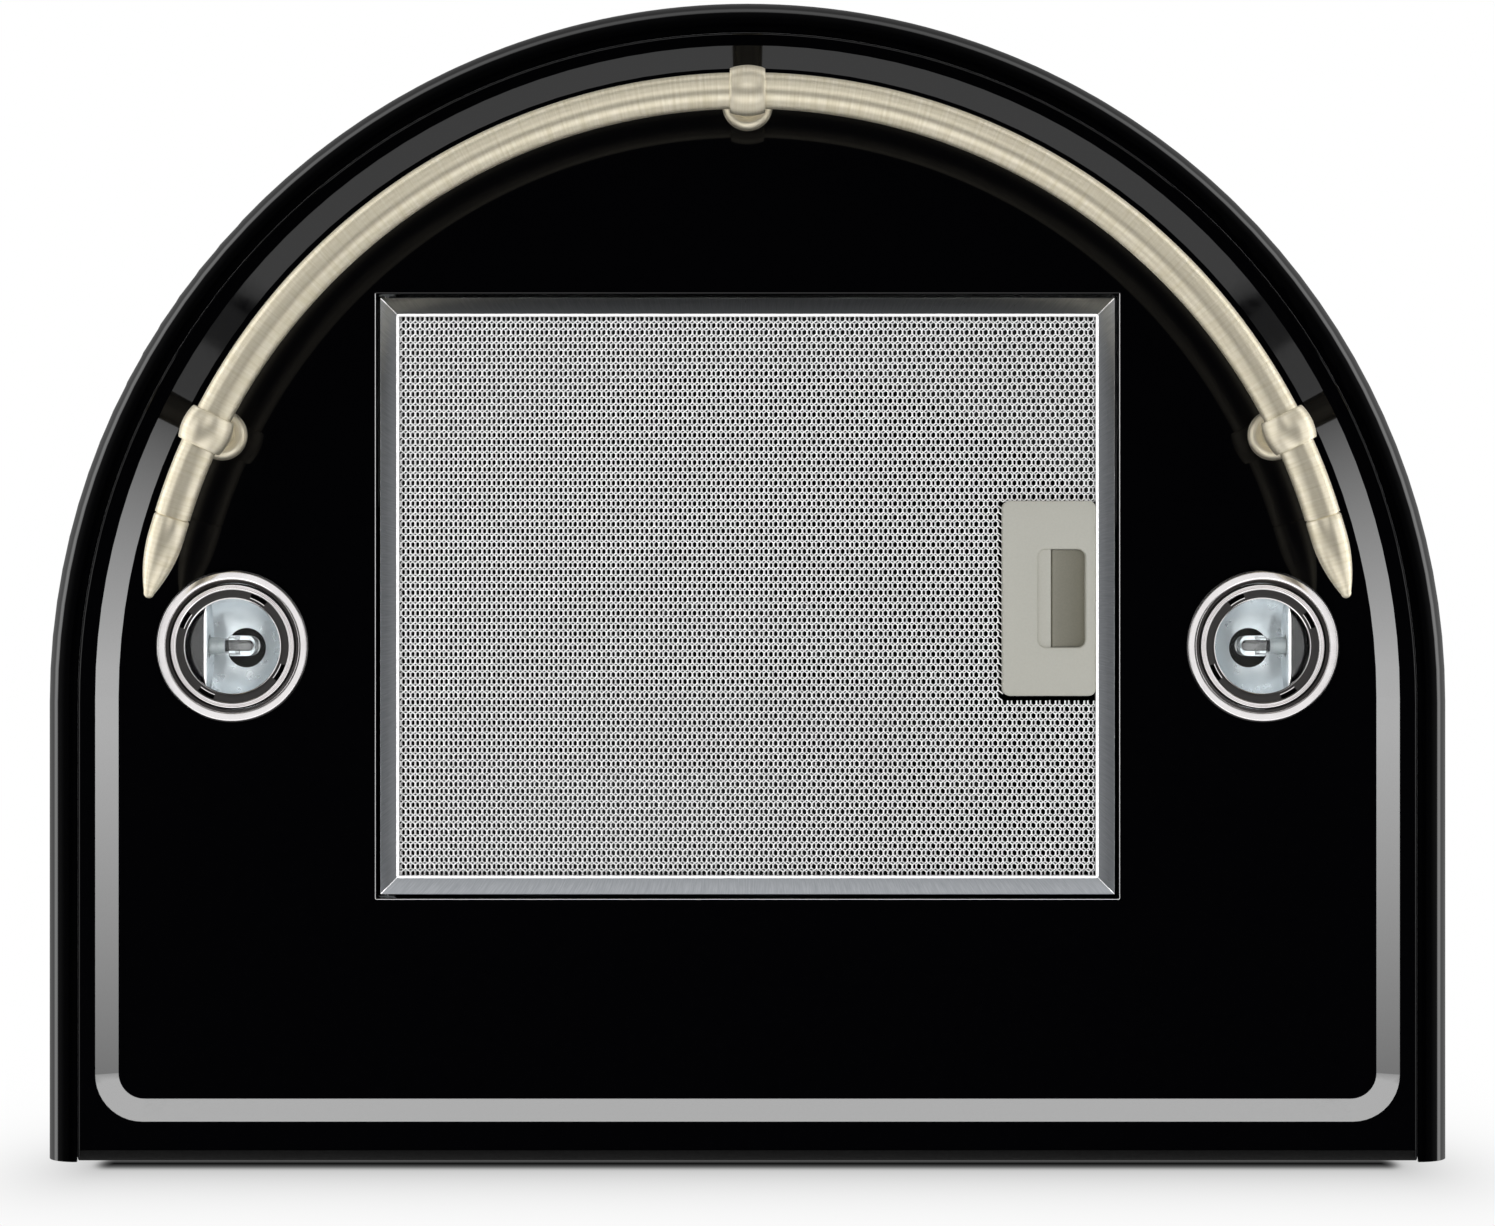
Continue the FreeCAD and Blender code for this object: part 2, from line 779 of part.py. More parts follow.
def filter_hinge_lugs():
    """Two lugs on the opening's flange that carry the filter's pins."""
    lugs = []
    for side in (-1, 1):
        seat = filter_centre_y + side * opening_depth / 2
        y_span = ordered(seat, seat - side * lug_thickness)
        bottom = recess_depth + lug_lift
        z_span = (bottom, bottom + lug_height)
        plate = block(span(hinge_x, lug_width), y_span, z_span).common(opening_block(0, z_span))
        start = Vector(hinge_x, seat - overrun, hinge_z)
        lugs.append(plate.cut(disc(hinge_pin_radius + running_gap, start, Y_AXIS, 2 * overrun)))
    return Part.makeCompound(lugs)


def bolt_channel():
    """Way for the latch bolt through the latch plate and the frame."""
    x_span = (slideway_right - overrun, filter_width / 2 + overrun)
    z_span = span(filter_face + bolt_level + bolt_thickness / 2, bolt_thickness + 2 * fit_gap)
    return block(x_span, span(latch_y, bolt_width + 2 * fit_gap), z_span)


def latch_plate():
    """Plastic plate in the mesh with a finger pocket and the slideway of the latch behind it."""
    bottom = filter_face + latch_rise
    top = filter_face + frame_height
    x_span = (latch_right - latch_width, latch_right - running_gap)
    body = rounded_block(x_span, span(latch_y, latch_length), (bottom, top), latch_corner)
    pocket_right = latch_right - pocket_inset
    pocket = rounded_block(
        (pocket_right - pocket_width, pocket_right),
        span(latch_y, pocket_length),
        (bottom - overrun, bottom + latch_wall),
        pocket_corner,
    )
    floor = bottom + latch_wall + slideway_depth
    slideway = block(
        (pocket_right - pocket_width, slideway_right),
        span(latch_y, pocket_length),
        (bottom + latch_wall - running_gap, floor),
    )
    edge = [item for item in body.Edges if abs(item.BoundBox.ZMin - bottom) < same_point
            and abs(item.BoundBox.ZMax - bottom) < same_point]
    return body.makeFillet(latch_rise, edge).cut([pocket, slideway, bolt_channel()])


def latch_slider():
    """Finger slide with a scooped face and a bolt that reaches through the frame."""
    right = latch_right - pocket_inset
    face = filter_face + latch_rise + latch_wall + slider_rise
    back = filter_face + latch_rise + latch_wall + slideway_depth - fit_gap
    length = pocket_length - 2 * fit_gap
    body = block((right - slider_width, right), span(latch_y, length), (face, back))
    axis_z = face + slider_scoop_depth - slider_scoop_radius
    scoop = disc(slider_scoop_radius, Vector(right - slider_width - overrun, latch_y, axis_z), X_AXIS,
                 slider_width + 2 * overrun)
    level = filter_face + bolt_level
    tip = filter_width / 2 - bolt_setback
    bolt_span = (right - slider_width / 2, tip)
    bolt = block(bolt_span, span(latch_y, bolt_width), (level, level + bolt_thickness))
    return body.cut(scoop).fuse(bolt).removeSplitter()


def lamp_trim():
    """Polished ring under the panel with a sleeve through the hole."""
    low = recess_depth - lamp_trim_depth
    sleeve_inner = lamp_sleeve_radius - lamp_sleeve_wall
    crown = (lamp_trim_radius + lamp_sleeve_radius) / 2
    return lathe(
        (sleeve_inner, low + lamp_trim_crown),
        (lamp_sleeve_radius, low + lamp_trim_crown / 2),
        (crown, low, lamp_trim_radius, low + lamp_trim_crown),
        (lamp_trim_radius, recess_depth),
        (lamp_sleeve_radius, recess_depth),
        (lamp_sleeve_radius, reflector_base()),
        (sleeve_inner, reflector_base()),
    )


def lamp_retainer():
    """Twist ring inside the trim, with four finger slots and a seat for the glass."""
    low = recess_depth - lamp_trim_depth + retainer_face
    outer = lamp_sleeve_radius - lamp_sleeve_wall - fit_gap
    body = lathe(
        (retainer_bore, low),
        (outer, low),
        (outer, low + retainer_height),
        (outer - retainer_wall, low + retainer_height),
        (outer - retainer_wall, low + retainer_plate),
        (retainer_bore, low + retainer_plate),
    )
    slots = []
    for quarter in range(4):
        slot = rounded_block(
            span(retainer_slot_offset, retainer_slot_width),
            span(0, retainer_slot_length),
            (low - overrun, low + retainer_plate),
            retainer_slot_width / 2 - running_gap,
        )
        slot.rotate(Vector(), Z_AXIS, retainer_slot_turn + 90 * quarter)
        slots.append(slot)
    return body.cut(slots)


def lamp_glass():
    """Flat glass on the retainer's seat."""
    low = recess_depth - lamp_trim_depth + retainer_face + retainer_plate
    return disc(glass_radius, Vector(0, 0, low), Z_AXIS, glass_thickness)


def reflector_base():
    """Height of the reflector's rim, which stands on the trim's sleeve."""
    return recess_depth - lamp_trim_depth + retainer_face + retainer_height + reflector_lift


def bowl(radius, height, base, skirt=0.0):
    """Solid spherical cap with its rim down, on a skirt below the rim."""
    sphere = (radius ** 2 + height ** 2) / (2 * height)
    centre = base + height - sphere
    half_turn = math.atan2(radius, base - centre) / 2
    middle = (sphere * math.sin(half_turn), centre + sphere * math.cos(half_turn))
    return lathe((0, base - skirt), (radius, base - skirt), (radius, base), (*middle, 0, base + height))


def lamp_reflector():
    """Bowl with a vent in its top and one flat side, where the bulb comes through a round hole."""
    base = reflector_base()
    reach = reflector_radius + overrun
    z_span = (base - 2 * overrun, base + reflector_height + overrun)
    outer = bowl(reflector_radius, reflector_height, base)
    outer = outer.cut(block((reflector_chord, reach), (-reach, reach), z_span))
    inner = bowl(reflector_radius - reflector_sheet, reflector_height - reflector_sheet, base, overrun)
    inner = inner.cut(block((reflector_chord - reflector_sheet, reach), (-reach, reach), z_span))
    start = Vector(reflector_chord - overrun, 0, base + bulb_height)
    bulb_way = disc(bulb_radius + fit_gap, start, X_AXIS, 2 * overrun)
    vent_base = Vector(reflector_vent_x, reflector_vent_y, base + reflector_height / 2)
    vent = disc(reflector_vent_radius, vent_base, Z_AXIS, reflector_height)
    return outer.cut([inner, bulb_way, vent])


def lamp_shield():
    """Flat segment under the socket, on the sleeve's top beside the reflector's flat side."""
    radius = lamp_sleeve_radius - lamp_sleeve_wall + shield_seat
    start = reflector_chord + fit_gap
    half_chord = math.sqrt(radius ** 2 - start ** 2)
    front, back = Vector(start, -half_chord, 0), Vector(start, half_chord, 0)
    rim = Part.Arc(front, Vector(radius, 0, 0), back).toShape()
    plate = Part.Face(Part.Wire([rim, Part.makeLine(back, front)])).extrude(Vector(0, 0, shield_sheet))
    return moved(plate, 0, 0, reflector_base())


def lamp_bulb():
    """Capsule bulb with a rounded tip and two pins."""
    flat = bulb_length - bulb_radius
    tip_side = bulb_radius * math.sqrt(0.5)
    body = lathe((0, 0), (bulb_radius, 0), (bulb_radius, flat), (tip_side, flat + tip_side, 0, bulb_length))
    pins = []
    for side in (-1, 1):
        base = Vector(0, side * bulb_pin_spacing / 2, -bulb_pin_length)
        pins.append(disc(bulb_pin_radius, base, Z_AXIS, bulb_pin_length + bulb_radius))
    seat = Vector(reflector_chord + fit_gap, 0, reflector_base() + bulb_height)
    return aim(body.fuse(pins), seat, -X_AXIS)


def lamp_socket():
    """Ceramic block behind the reflector that takes the bulb's pins."""
    front = reflector_chord + fit_gap
    height = reflector_base() + bulb_height
    body = block((front, front + socket_depth), span(0, socket_width), span(height, socket_height))
    holes = []
    for side in (-1, 1):
        base = Vector(front - overrun, side * bulb_pin_spacing / 2, height)
        holes.append(disc(bulb_pin_radius, base, X_AXIS, overrun + bulb_pin_length))
    foot_top = panel_top + housing_height - housing_sheet
    foot = block((front, front + socket_depth / 2), span(0, socket_width / 2), (height, foot_top))
    return body.fuse(foot).cut(holes)


def lamp_housing():
    """Closed cup above the panel."""
    top = panel_top + housing_height
    inner = housing_radius - housing_sheet
    bend = housing_corner * (1 - math.sqrt(0.5))
    inner_corner = housing_corner - housing_sheet
    inner_bend = inner_corner * (1 - math.sqrt(0.5))
    inner_top = top - housing_sheet
    return lathe(
        (inner, panel_top),
        (housing_radius + housing_flange, panel_top),
        (housing_radius + housing_flange, panel_top + housing_sheet),
        (housing_radius, panel_top + housing_sheet),
        (housing_radius, top - housing_corner),
        (housing_radius - bend, top - bend, housing_radius - housing_corner, top),
        (0, top),
        (0, inner_top),
        (inner - inner_corner, inner_top),
        (inner - inner_bend, inner_top - inner_bend, inner, inner_top - inner_corner),
    )


def at_lamp(shape, side):
    """Lamp piece at the left or right lamp, with its flat side outwards."""
    placed = shape.copy()
    if side < 0:
        placed = placed.mirror(Vector(), X_AXIS)
    placed.translate(Vector(side * lamp_x, lamp_y, 0))
    return placed


def chimney_tube(half, depth, back, bottom, top):
    """Bent sheet of D plan, open at the wall, with return flanges along it."""
    outer = arch_prism(half, depth, bottom, top, back)
    inner_half = half - chimney_sheet
    inner = arch_prism(inner_half, depth - chimney_sheet, bottom - overrun, top + overrun, overrun)
    sides = outer.cut(inner)
    flanges = []
    for side in (-1, 1):
        x_span = ordered(side * half, side * (half - chimney_flange))
        flanges.append(block(x_span, (back - chimney_sheet, back), (bottom, top)))
    return sides.fuse(flanges).removeSplitter()


def chimney_lower():
    """Lower chimney, standing on the canopy's ledge, with two fixing tabs."""
    top = canopy_height + chimney_lower_height
    tube = chimney_tube(chimney_width / 2, chimney_depth, 0, canopy_height, top)
    tab_z = (canopy_height, canopy_height + chimney_sheet)
    tabs = []
    for side in (-1, 1):
        outer = chimney_width / 2 - chimney_sheet
        x_span = ordered(side * outer, side * (outer - chimney_tab))
        tabs.append(block(x_span, span(chimney_tab_y, chimney_tab), tab_z))
    tube = tube.fuse(tabs).removeSplitter()
    return tube.cut(Part.makeCompound([chimney_screw(side) for side in (-1, 1)]))


def chimney_screw(side):
    """Screw from under the canopy's ledge into a tab."""
    length = shell_sheet + chimney_sheet
    one = screw(rail_screw_radius, length, 2 * rail_screw_radius, rail_screw_radius)
    x = side * (chimney_width / 2 - chimney_sheet - chimney_tab / 2)
    return aim(one, Vector(x, chimney_tab_y, canopy_height - shell_sheet), -Z_AXIS)


def chimney_upper_bottom():
    """Height of the retracted upper chimney's lower edge, on the tabs of the lower one."""
    return canopy_height + chimney_sheet + fit_gap


def chimney_upper():
    """Upper chimney nested in the lower one, with vent slots near its top."""
    shrink = chimney_sheet + chimney_nest_gap
    bottom = chimney_upper_bottom()
    top = bottom + chimney_upper_height
    half = chimney_width / 2 - shrink
    tube = chimney_tube(half, chimney_depth - shrink, -chimney_wall_gap, bottom, top)
    slots = []
    for row in range(vent_count):
        z = top - vent_top_gap - row * vent_pitch
        slots.append(rounded_block(
            (-half - overrun, half + overrun), span(vent_centre_y, vent_length), span(z, vent_width),
            vent_width / 2 - running_gap, X_AXIS,
        ))
    return tube.cut(slots)


def chimney_bracket():
    """Channel inside the top of the upper chimney, screwed to the wall."""
    half = chimney_width / 2 - chimney_sheet - chimney_nest_gap - chimney_sheet - running_gap
    back = -chimney_wall_gap - chimney_sheet
    top = chimney_upper_bottom() + chimney_upper_height - bracket_top_gap
    z_span = (top - bracket_height, top)
    outer = block((-half, half), (back - bracket_ear, back), z_span)
    inner = block(
        (bracket_sheet - half, half - bracket_sheet),
        (back - bracket_ear - overrun, back - bracket_sheet),
        (z_span[0] - overrun, top + overrun),
    )
    holes = []
    for side in (-1, 1):
        base = Vector(side * half / 2, back - overrun, top - bracket_height / 2)
        holes.append(disc(bracket_hole_radius, base, Y_AXIS, 2 * overrun))
    return outer.cut([inner, *holes])


def scroll_face(grow):
    """Face of the scroll's air way: three quarter arcs of growing radius and a straight outlet."""
    half_step = scroll_growth / 2
    first = scroll_radius + grow
    second = first + scroll_growth
    third = second + scroll_growth
    left_x = -half_step - grow
    start_z = math.sqrt(first ** 2 - grow ** 2) - half_step
    turn = (90 + math.degrees(math.asin(grow / first)) + 180) / 2
    mid_x, mid_z = polar(first, turn)
    low_x, low_z = polar(second, 225)
    right_x, right_z = polar(third, 315)
    top = scroll_top - blower_height
    face = outline(
        (left_x, start_z),
        (mid_x - half_step, mid_z - half_step, -half_step - first, -half_step),
        (half_step + low_x, low_z - half_step, half_step, -half_step - second),
        (half_step + right_x, half_step + right_z, half_step + third, half_step),
        (half_step + third, top),
        (left_x, top),
    )
    face.translate(Vector(blower_x, 0, blower_height))
    return face


def scroll_prism(grow, front, back):
    """Scroll outline between two planes across the shaft."""
    face = scroll_face(grow)
    face.translate(Vector(0, front, 0))
    return face.extrude(Vector(0, back - front, 0))


def scroll_half(side):
    """One half of the scroll housing with its end wall, rolled inlet, joint rib and outlet flange."""
    wall_y = blower_y + side * scroll_width / 2
    body = scroll_prism(scroll_sheet, *ordered(wall_y, blower_y))
    rib = scroll_prism(scroll_rib, *ordered(blower_y, blower_y + side * scroll_sheet))
    flange = block(
        span(0, outlet_flange),
        ordered(blower_y, blower_y + side * outlet_flange / 2),
        (scroll_top - outlet_flange_sheet, scroll_top),
    )
    way = scroll_prism(0, *ordered(wall_y - side * scroll_sheet, blower_y - side * overrun))
    inlet = disc(inlet_radius, Vector(blower_x, wall_y - overrun, blower_height), Y_AXIS, 2 * overrun)
    roll = aim(inlet_roll_ring(), Vector(blower_x, wall_y, blower_height), Y_AXIS * -side)
    return body.fuse([rib, flange]).cut([way, inlet, blower_screws()]).fuse(roll).removeSplitter()


def inlet_roll_ring():
    """Quarter-round lip of the inlet, turned in towards the wheel along Z."""
    bend = inlet_roll * math.sqrt(0.5)
    inner_bend = (inlet_roll - scroll_sheet) * math.sqrt(0.5)
    return lathe(
        (inlet_radius, 0),
        (inlet_radius - bend, inlet_roll - bend, inlet_radius - inlet_roll, inlet_roll),
        (inlet_radius - inlet_roll + scroll_sheet, inlet_roll),
        (inlet_radius - inner_bend, inlet_roll - inner_bend, inlet_radius, scroll_sheet),
    )


def blade_face():
    """Strip from the wheel's inner to its outer radius that leans forward at its tip."""
    outer = wheel_radius - fit_gap
    middle = (wheel_inner + outer) / 2
    lean = blade_lean * blade_middle_share
    inner_skew = math.degrees(blade_sheet / wheel_inner)
    middle_skew = math.degrees(blade_sheet / middle)
    outer_skew = math.degrees(blade_sheet / outer)
    return outline(
        polar(wheel_inner, 0),
        (*polar(middle, lean), *polar(outer, blade_lean)),
        polar(outer, blade_lean + outer_skew),
        (*polar(middle, lean + middle_skew), *polar(wheel_inner, inner_skew)),
    )


def impeller():
    """Squirrel-cage wheel: forward-curved blades between two end rings and a centre disc with a hub."""
    front = -wheel_width / 2
    strip = blade_face()
    strip.translate(Vector(0, front, 0))
    blade = strip.extrude(Vector(0, wheel_width, 0))
    pieces = []
    for number in range(blade_count):
        copy = blade.copy()
        copy.rotate(Vector(), Y_AXIS, number * 360 / blade_count)
        pieces.append(copy)
    rim_inner = wheel_radius - wheel_ring
    for low in (front, -front - wheel_ring_width):
        pieces.append(aim(ring(rim_inner, wheel_radius, 0, wheel_ring_width), Vector(0, low, 0), Y_AXIS))
    disc_ring = ring(shaft_radius, wheel_radius, 0, wheel_disc)
    pieces.append(aim(disc_ring, Vector(0, -wheel_disc / 2, 0), Y_AXIS))
    hub = ring(shaft_radius, hub_radius, 0, wheel_disc + hub_length)
    pieces.append(aim(hub, Vector(0, -wheel_disc / 2, 0), Y_AXIS))
    wheel = pieces[0].multiFuse(pieces[1:]).removeSplitter()
    wheel.translate(Vector(blower_x, blower_y, blower_height))
    return wheel


def motor_shaft():
    """Plain shaft from the nut through the wheel into the motor."""
    front = blower_y - wheel_disc / 2 - nut_height
    return disc(shaft_radius, Vector(blower_x, front, blower_height), Y_AXIS, shaft_length)


def impeller_nut():
    """Hexagon nut on the shaft's end in front of the wheel."""
    corners = [Vector(*polar(nut_radius, 60 * side), 0) for side in range(7)]
    body = Part.Face(Part.makePolygon(corners)).extrude(Vector(0, 0, nut_height))
    body = body.cut(disc(shaft_radius, Vector(0, 0, -overrun), Z_AXIS, nut_height + 2 * overrun))
    return aim(body, Vector(blower_x, blower_y - wheel_disc / 2 - nut_height, blower_height), Y_AXIS)


def motor_body():
    """Drum of the motor with rounded ends, a front boss and the shaft's bore."""
    bend = motor_corner * (1 - math.sqrt(0.5))
    bore = shaft_radius + running_gap
    body = lathe(
        (0, motor_bore),
        (bore, motor_bore),
        (bore, 0),
        (motor_boss_radius, 0),
        (motor_boss_radius, motor_boss_height),
        (motor_radius - motor_corner, motor_boss_height),
        (motor_radius - bend, motor_boss_height + bend, motor_radius, motor_boss_height + motor_corner),
        (motor_radius, motor_length - motor_corner),
        (motor_radius - bend, motor_length - bend, motor_radius - motor_corner, motor_length),
        (0, motor_length),
    )
    return aim(body, Vector(blower_x, motor_front, blower_height), Y_AXIS)


def spider_foot(angle):
    """Screw place on a motor bracket's arm, in the XZ plane."""
    return polar(spider_radius - spider_arm / 2, angle)


def motor_bracket():
    """Ring round the motor with three arms to the back of the scroll."""
    body = ring(motor_radius, motor_radius + spider_ring, 0, spider_sheet)
    arms = []
    holes = []
    for angle in spider_angles:
        arm = block((motor_radius + spider_ring / 2, spider_radius), span(0, spider_arm), (0, spider_sheet))
        arm.rotate(Vector(), Z_AXIS, -angle)
        arms.append(arm)
        x, z = spider_foot(angle)
        holes.append(disc(rail_screw_radius, Vector(x, -z, -overrun), Z_AXIS, spider_sheet + 2 * overrun))
    bracket = body.fuse(arms).cut(holes).removeSplitter()
    return aim(bracket, Vector(blower_x, scroll_back_y, blower_height), Y_AXIS)


def blower_screws():
    """Screws that hold the motor bracket to the scroll."""
    one = screw(rail_screw_radius, spider_sheet + scroll_sheet, 2 * rail_screw_radius, rail_screw_radius)
    screws = []
    for angle in spider_angles:
        x, z = spider_foot(angle)
        place = Vector(blower_x + x, scroll_back_y + spider_sheet, blower_height + z)
        screws.append(aim(one, place, Y_AXIS))
    return Part.makeCompound(screws)


def blower_mount_frame():
    """Two arms and a crossbar that carry the scroll from the back plate."""
    z_span = span(blower_height, mount_height)
    left = blower_x - mount_left_width
    right = blower_x + mount_right_width
    back = -back_sheet
    bar = block((left, right), (back - mount_sheet, back), z_span)
    pieces = []
    for edge, inward in ((left, 1), (right, -1)):
        arm_span = ordered(edge, edge + inward * mount_sheet)
        foot_span = ordered(edge, edge + inward * mount_foot)
        pieces.append(block(arm_span, (scroll_back_y, back), z_span))
        pieces.append(block(foot_span, (scroll_back_y, scroll_back_y + mount_sheet), z_span))
    return bar.fuse(pieces).removeSplitter()


def duct_collar():
    """Square base with a round collar for the duct and a ledge that the closed flaps rest on."""
    x_span = span(0, outlet_flange)
    base = block(x_span, span(blower_y, outlet_flange), (scroll_top, collar_base))
    inner = duct_radius - collar_wall
    tube = ring(inner, duct_radius, collar_base, collar_base + collar_height)
    stop_top = flap_z - flap_sheet / 2 - fit_gap
    stop = ring(inner - stop_width, inner, stop_top - stop_height, stop_top)
    way_base = Vector(0, blower_y, scroll_top - overrun)
    way = disc(inner, way_base, Z_AXIS, outlet_flange_sheet + 2 * overrun)
    collar = base.cut(way).fuse([moved(tube, 0, blower_y, 0), moved(stop, 0, blower_y, 0)])
    return collar.removeSplitter().cut(flap_pin())


def flap_pin():
    """Pin across the collar that both flaps turn on."""
    start = Vector(0, blower_y - duct_radius, flap_z)
    return disc(flap_pin_radius, start, Y_AXIS, 2 * duct_radius)


def flap(side):
    """Half-round flap with two loops round the pin."""
    bore = flap_pin_radius + running_gap
    loop_radius = bore + flap_loop_wall
    half_sheet = flap_sheet / 2
    plate = disc(flap_radius, Vector(0, blower_y, flap_z - half_sheet), Z_AXIS, flap_sheet)
    edge = loop_radius + flap_loop_wall
    keep = block(ordered(side * edge, side * duct_radius), (-hood_depth, 0), (0, 2 * canopy_height))
    plate = plate.common(keep)
    loops = []
    for number in (-1, 1):
        middle = blower_y + number * (2 * flap_loop_length) + side * (flap_loop_length + flap_hinge_gap) / 2
        y_low, y_high = span(middle, flap_loop_length)
        loops.append(disc(loop_radius, Vector(0, y_low, flap_z), Y_AXIS, y_high - y_low))
        tongue_span = ordered(0, side * (edge + flap_loop_wall))
        loops.append(block(tongue_span, (y_low, y_high), span(flap_z, flap_sheet)))
    pin_way = disc(bore, Vector(0, -hood_depth, flap_z), Y_AXIS, hood_depth)
    return plate.fuse(loops).removeSplitter().cut(pin_way)


def transformer():
    """Laminated core with a wound coil and two feet."""
    back = -back_sheet
    bottom = transformer_height
    core_y = span(back - foot_sheet - transformer_coil / 2, transformer_core)
    core = block(span(transformer_x, transformer_width), core_y, (bottom, bottom + transformer_rise))
    coil_x = span(transformer_x, transformer_width / 2)
    coil_z = span(bottom + transformer_rise / 2, transformer_rise * transformer_coil_share)
    coil = rounded_block(coil_x, (back - foot_sheet - transformer_coil, back - foot_sheet), coil_z,
                         transformer_core / 4, Z_AXIS)
    feet_x = span(transformer_x, transformer_width + 2 * transformer_foot)
    feet = block(feet_x, (back - foot_sheet, back), (bottom, bottom + transformer_rise))
    holes = []
    for side in (-1, 1):
        x = transformer_x + side * (transformer_width + transformer_foot) / 2
        place = Vector(x, back - overrun, bottom + transformer_rise / 2)
        holes.append(disc(rail_screw_radius, place, Y_AXIS, 2 * overrun))
    webs = block(span(transformer_x, transformer_width), (core_y[0], back - foot_sheet),
                 (bottom, bottom + foot_sheet))
    return core.fuse([coil, feet, webs]).cut(holes).removeSplitter()


def terminal_box():
    """Moulded box for the mains terminals with a stepped lid."""
    back = -back_sheet
    x_span = span(terminal_x, terminal_width)
    z_span = (terminal_height, terminal_height + terminal_rise)
    body = rounded_block(x_span, (back - terminal_depth, back), z_span, terminal_corner, Y_AXIS)
    lid = rounded_block(
        (x_span[0] - clip_sheet, x_span[1] + clip_sheet),
        (back - terminal_depth - terminal_lid, back - terminal_depth),
        (z_span[0] - clip_sheet, z_span[1] + clip_sheet),
        terminal_corner + clip_sheet,
        Y_AXIS,
    )
    gland_way = disc(gland_bore, gland_base() - Vector(0, 0, terminal_rise / 2), Z_AXIS, terminal_rise)
    return body.fuse(lid).cut(gland_way).removeSplitter()


def gland_base():
    """Point on the terminal box's top where the gland stands."""
    return Vector(terminal_x, -back_sheet - terminal_depth / 2, terminal_height + terminal_rise)


def cable_gland():
    """Hexagon, body and domed nut round the bore that the supply cable would pass through."""
    corners = [Vector(*polar(gland_nut_radius, 60 * side), 0) for side in range(7)]
    nut = Part.Face(Part.makePolygon(corners)).extrude(Vector(0, 0, gland_nut_height))
    top = gland_nut_height + gland_body_height
    mouth = gland_bore + clip_sheet
    shoulder = top + gland_dome_height * gland_dome_share
    body = lathe(
        (0, 0),
        (gland_radius, 0),
        (gland_radius, top),
        (gland_radius - clip_sheet, shoulder, mouth, top + gland_dome_height),
        (0, top + gland_dome_height),
    )
    bore = disc(gland_bore, Vector(0, 0, -overrun), Z_AXIS, top + gland_dome_height + 2 * overrun)
    return aim(nut.fuse(body).cut(bore).removeSplitter(), gland_base(), Z_AXIS)


def capacitor_axis_y():
    """Distance of the capacitor's axis from the wall."""
    return -back_sheet - clip_sheet - capacitor_radius


def capacitor():
    """Motor capacitor with a crimped cap and two terminals."""
    rim = capacitor_radius - capacitor_cap / 3
    top = capacitor_length
    body = lathe(
        (0, 0), (rim, 0), (capacitor_radius, capacitor_cap / 3), (capacitor_radius, top - capacitor_cap),
        (rim, top), (0, top),
    )
    tabs = []
    for side in (-1, 1):
        x_span = span(side * capacitor_radius / 2, foot_sheet)
        tabs.append(block(x_span, span(0, capacitor_radius / 3), (top, top + 2 * capacitor_cap)))
    return moved(body.fuse(tabs), capacitor_x, capacitor_axis_y(), capacitor_height)


def capacitor_clip():
    """Band round the capacitor with two feet on the back plate."""
    z_span = span(capacitor_height + capacitor_length / 2, clip_width)
    axis_y = capacitor_axis_y()
    band = moved(ring(capacitor_radius, capacitor_radius + clip_sheet, *z_span), capacitor_x, axis_y, 0)
    reach = capacitor_radius + clip_sheet + transformer_foot
    feet = block(span(capacitor_x, 2 * reach), (-back_sheet - clip_sheet, -back_sheet), z_span)
    bore = disc(capacitor_radius, Vector(capacitor_x, axis_y, 0), Z_AXIS, canopy_height)
    return band.fuse(feet).cut(bore).removeSplitter()


def button_cutter(gap, inner, outer):
    """Block of a button's section at the middle of the front."""
    return rounded_block(
        span(0, button_width + 2 * gap),
        (arch_y - outer, arch_y - inner),
        span(bezel_level, button_rise + 2 * gap),
        button_corner,
        Y_AXIS,
    )


def button_turns():
    """Angle of each button from the middle of the front."""
    middle = (len(button_names) - 1) / 2
    return [(number - middle) * button_angle for number in range(len(button_names))]


def control_bezel():
    """Curved plate on the band with a collar through the slot and a hole for each button."""
    face = half_width + bezel_proud
    plate = arch_block(half_width, face, bezel_half_angle, span(bezel_level, bezel_height))
    ends = []
    for edge in plate.Edges:
        middle = edge.CenterOfMass
        radial = Vector(middle.x, middle.y - arch_y, 0)
        if edge.Length < bezel_proud + same_point and radial.Length > half_width:
            ends.append(edge)
    plate = plate.makeFillet(bezel_height / 4, ends)
    inner = band_inner - bezel_collar + shell_sheet
    collar = arch_block(inner, half_width, collar_half_angle, span(bezel_level, collar_rise))
    cutter = button_cutter(fit_gap, inner - overrun, face + overrun)
    holes = [round_front(cutter, turn) for turn in button_turns()]
    return plate.fuse(collar).cut(holes).removeSplitter()


def button(turn):
    """Push button with a domed edge and a flange behind the bezel."""
    outer = half_width + bezel_proud + button_proud
    inner = outer - button_length
    body = button_cutter(0, inner, outer)
    front_edges = [edge for edge in body.Edges if abs(edge.BoundBox.YMax - (arch_y - outer)) < same_point]
    body = body.makeFillet(button_corner / 2, front_edges)
    flange = block(
        span(0, button_width + 2 * button_flange),
        (arch_y - inner - button_flange_sheet, arch_y - inner),
        span(bezel_level, button_rise + 2 * button_flange),
    )
    return round_front(body.fuse(flange).removeSplitter(), turn)


def switch_block():
    """Curved switch housing behind the buttons, with ears to the band."""
    face = half_width + bezel_proud + button_proud - button_length - button_travel - switch_gap
    z_span = span(bezel_level, switch_rise)
    body = arch_block(face - switch_depth, face, bezel_half_angle, z_span)
    ear_angle = (bezel_half_angle - collar_half_angle) / 2
    half_ear = ear_angle - math.degrees(fit_gap / half_width)
    ear = arch_block(face - switch_depth / 2, band_inner, half_ear, z_span)
    pieces = [round_front(ear, side * (bezel_half_angle - ear_angle)) for side in (-1, 1)]
    return body.fuse(pieces).removeSplitter()


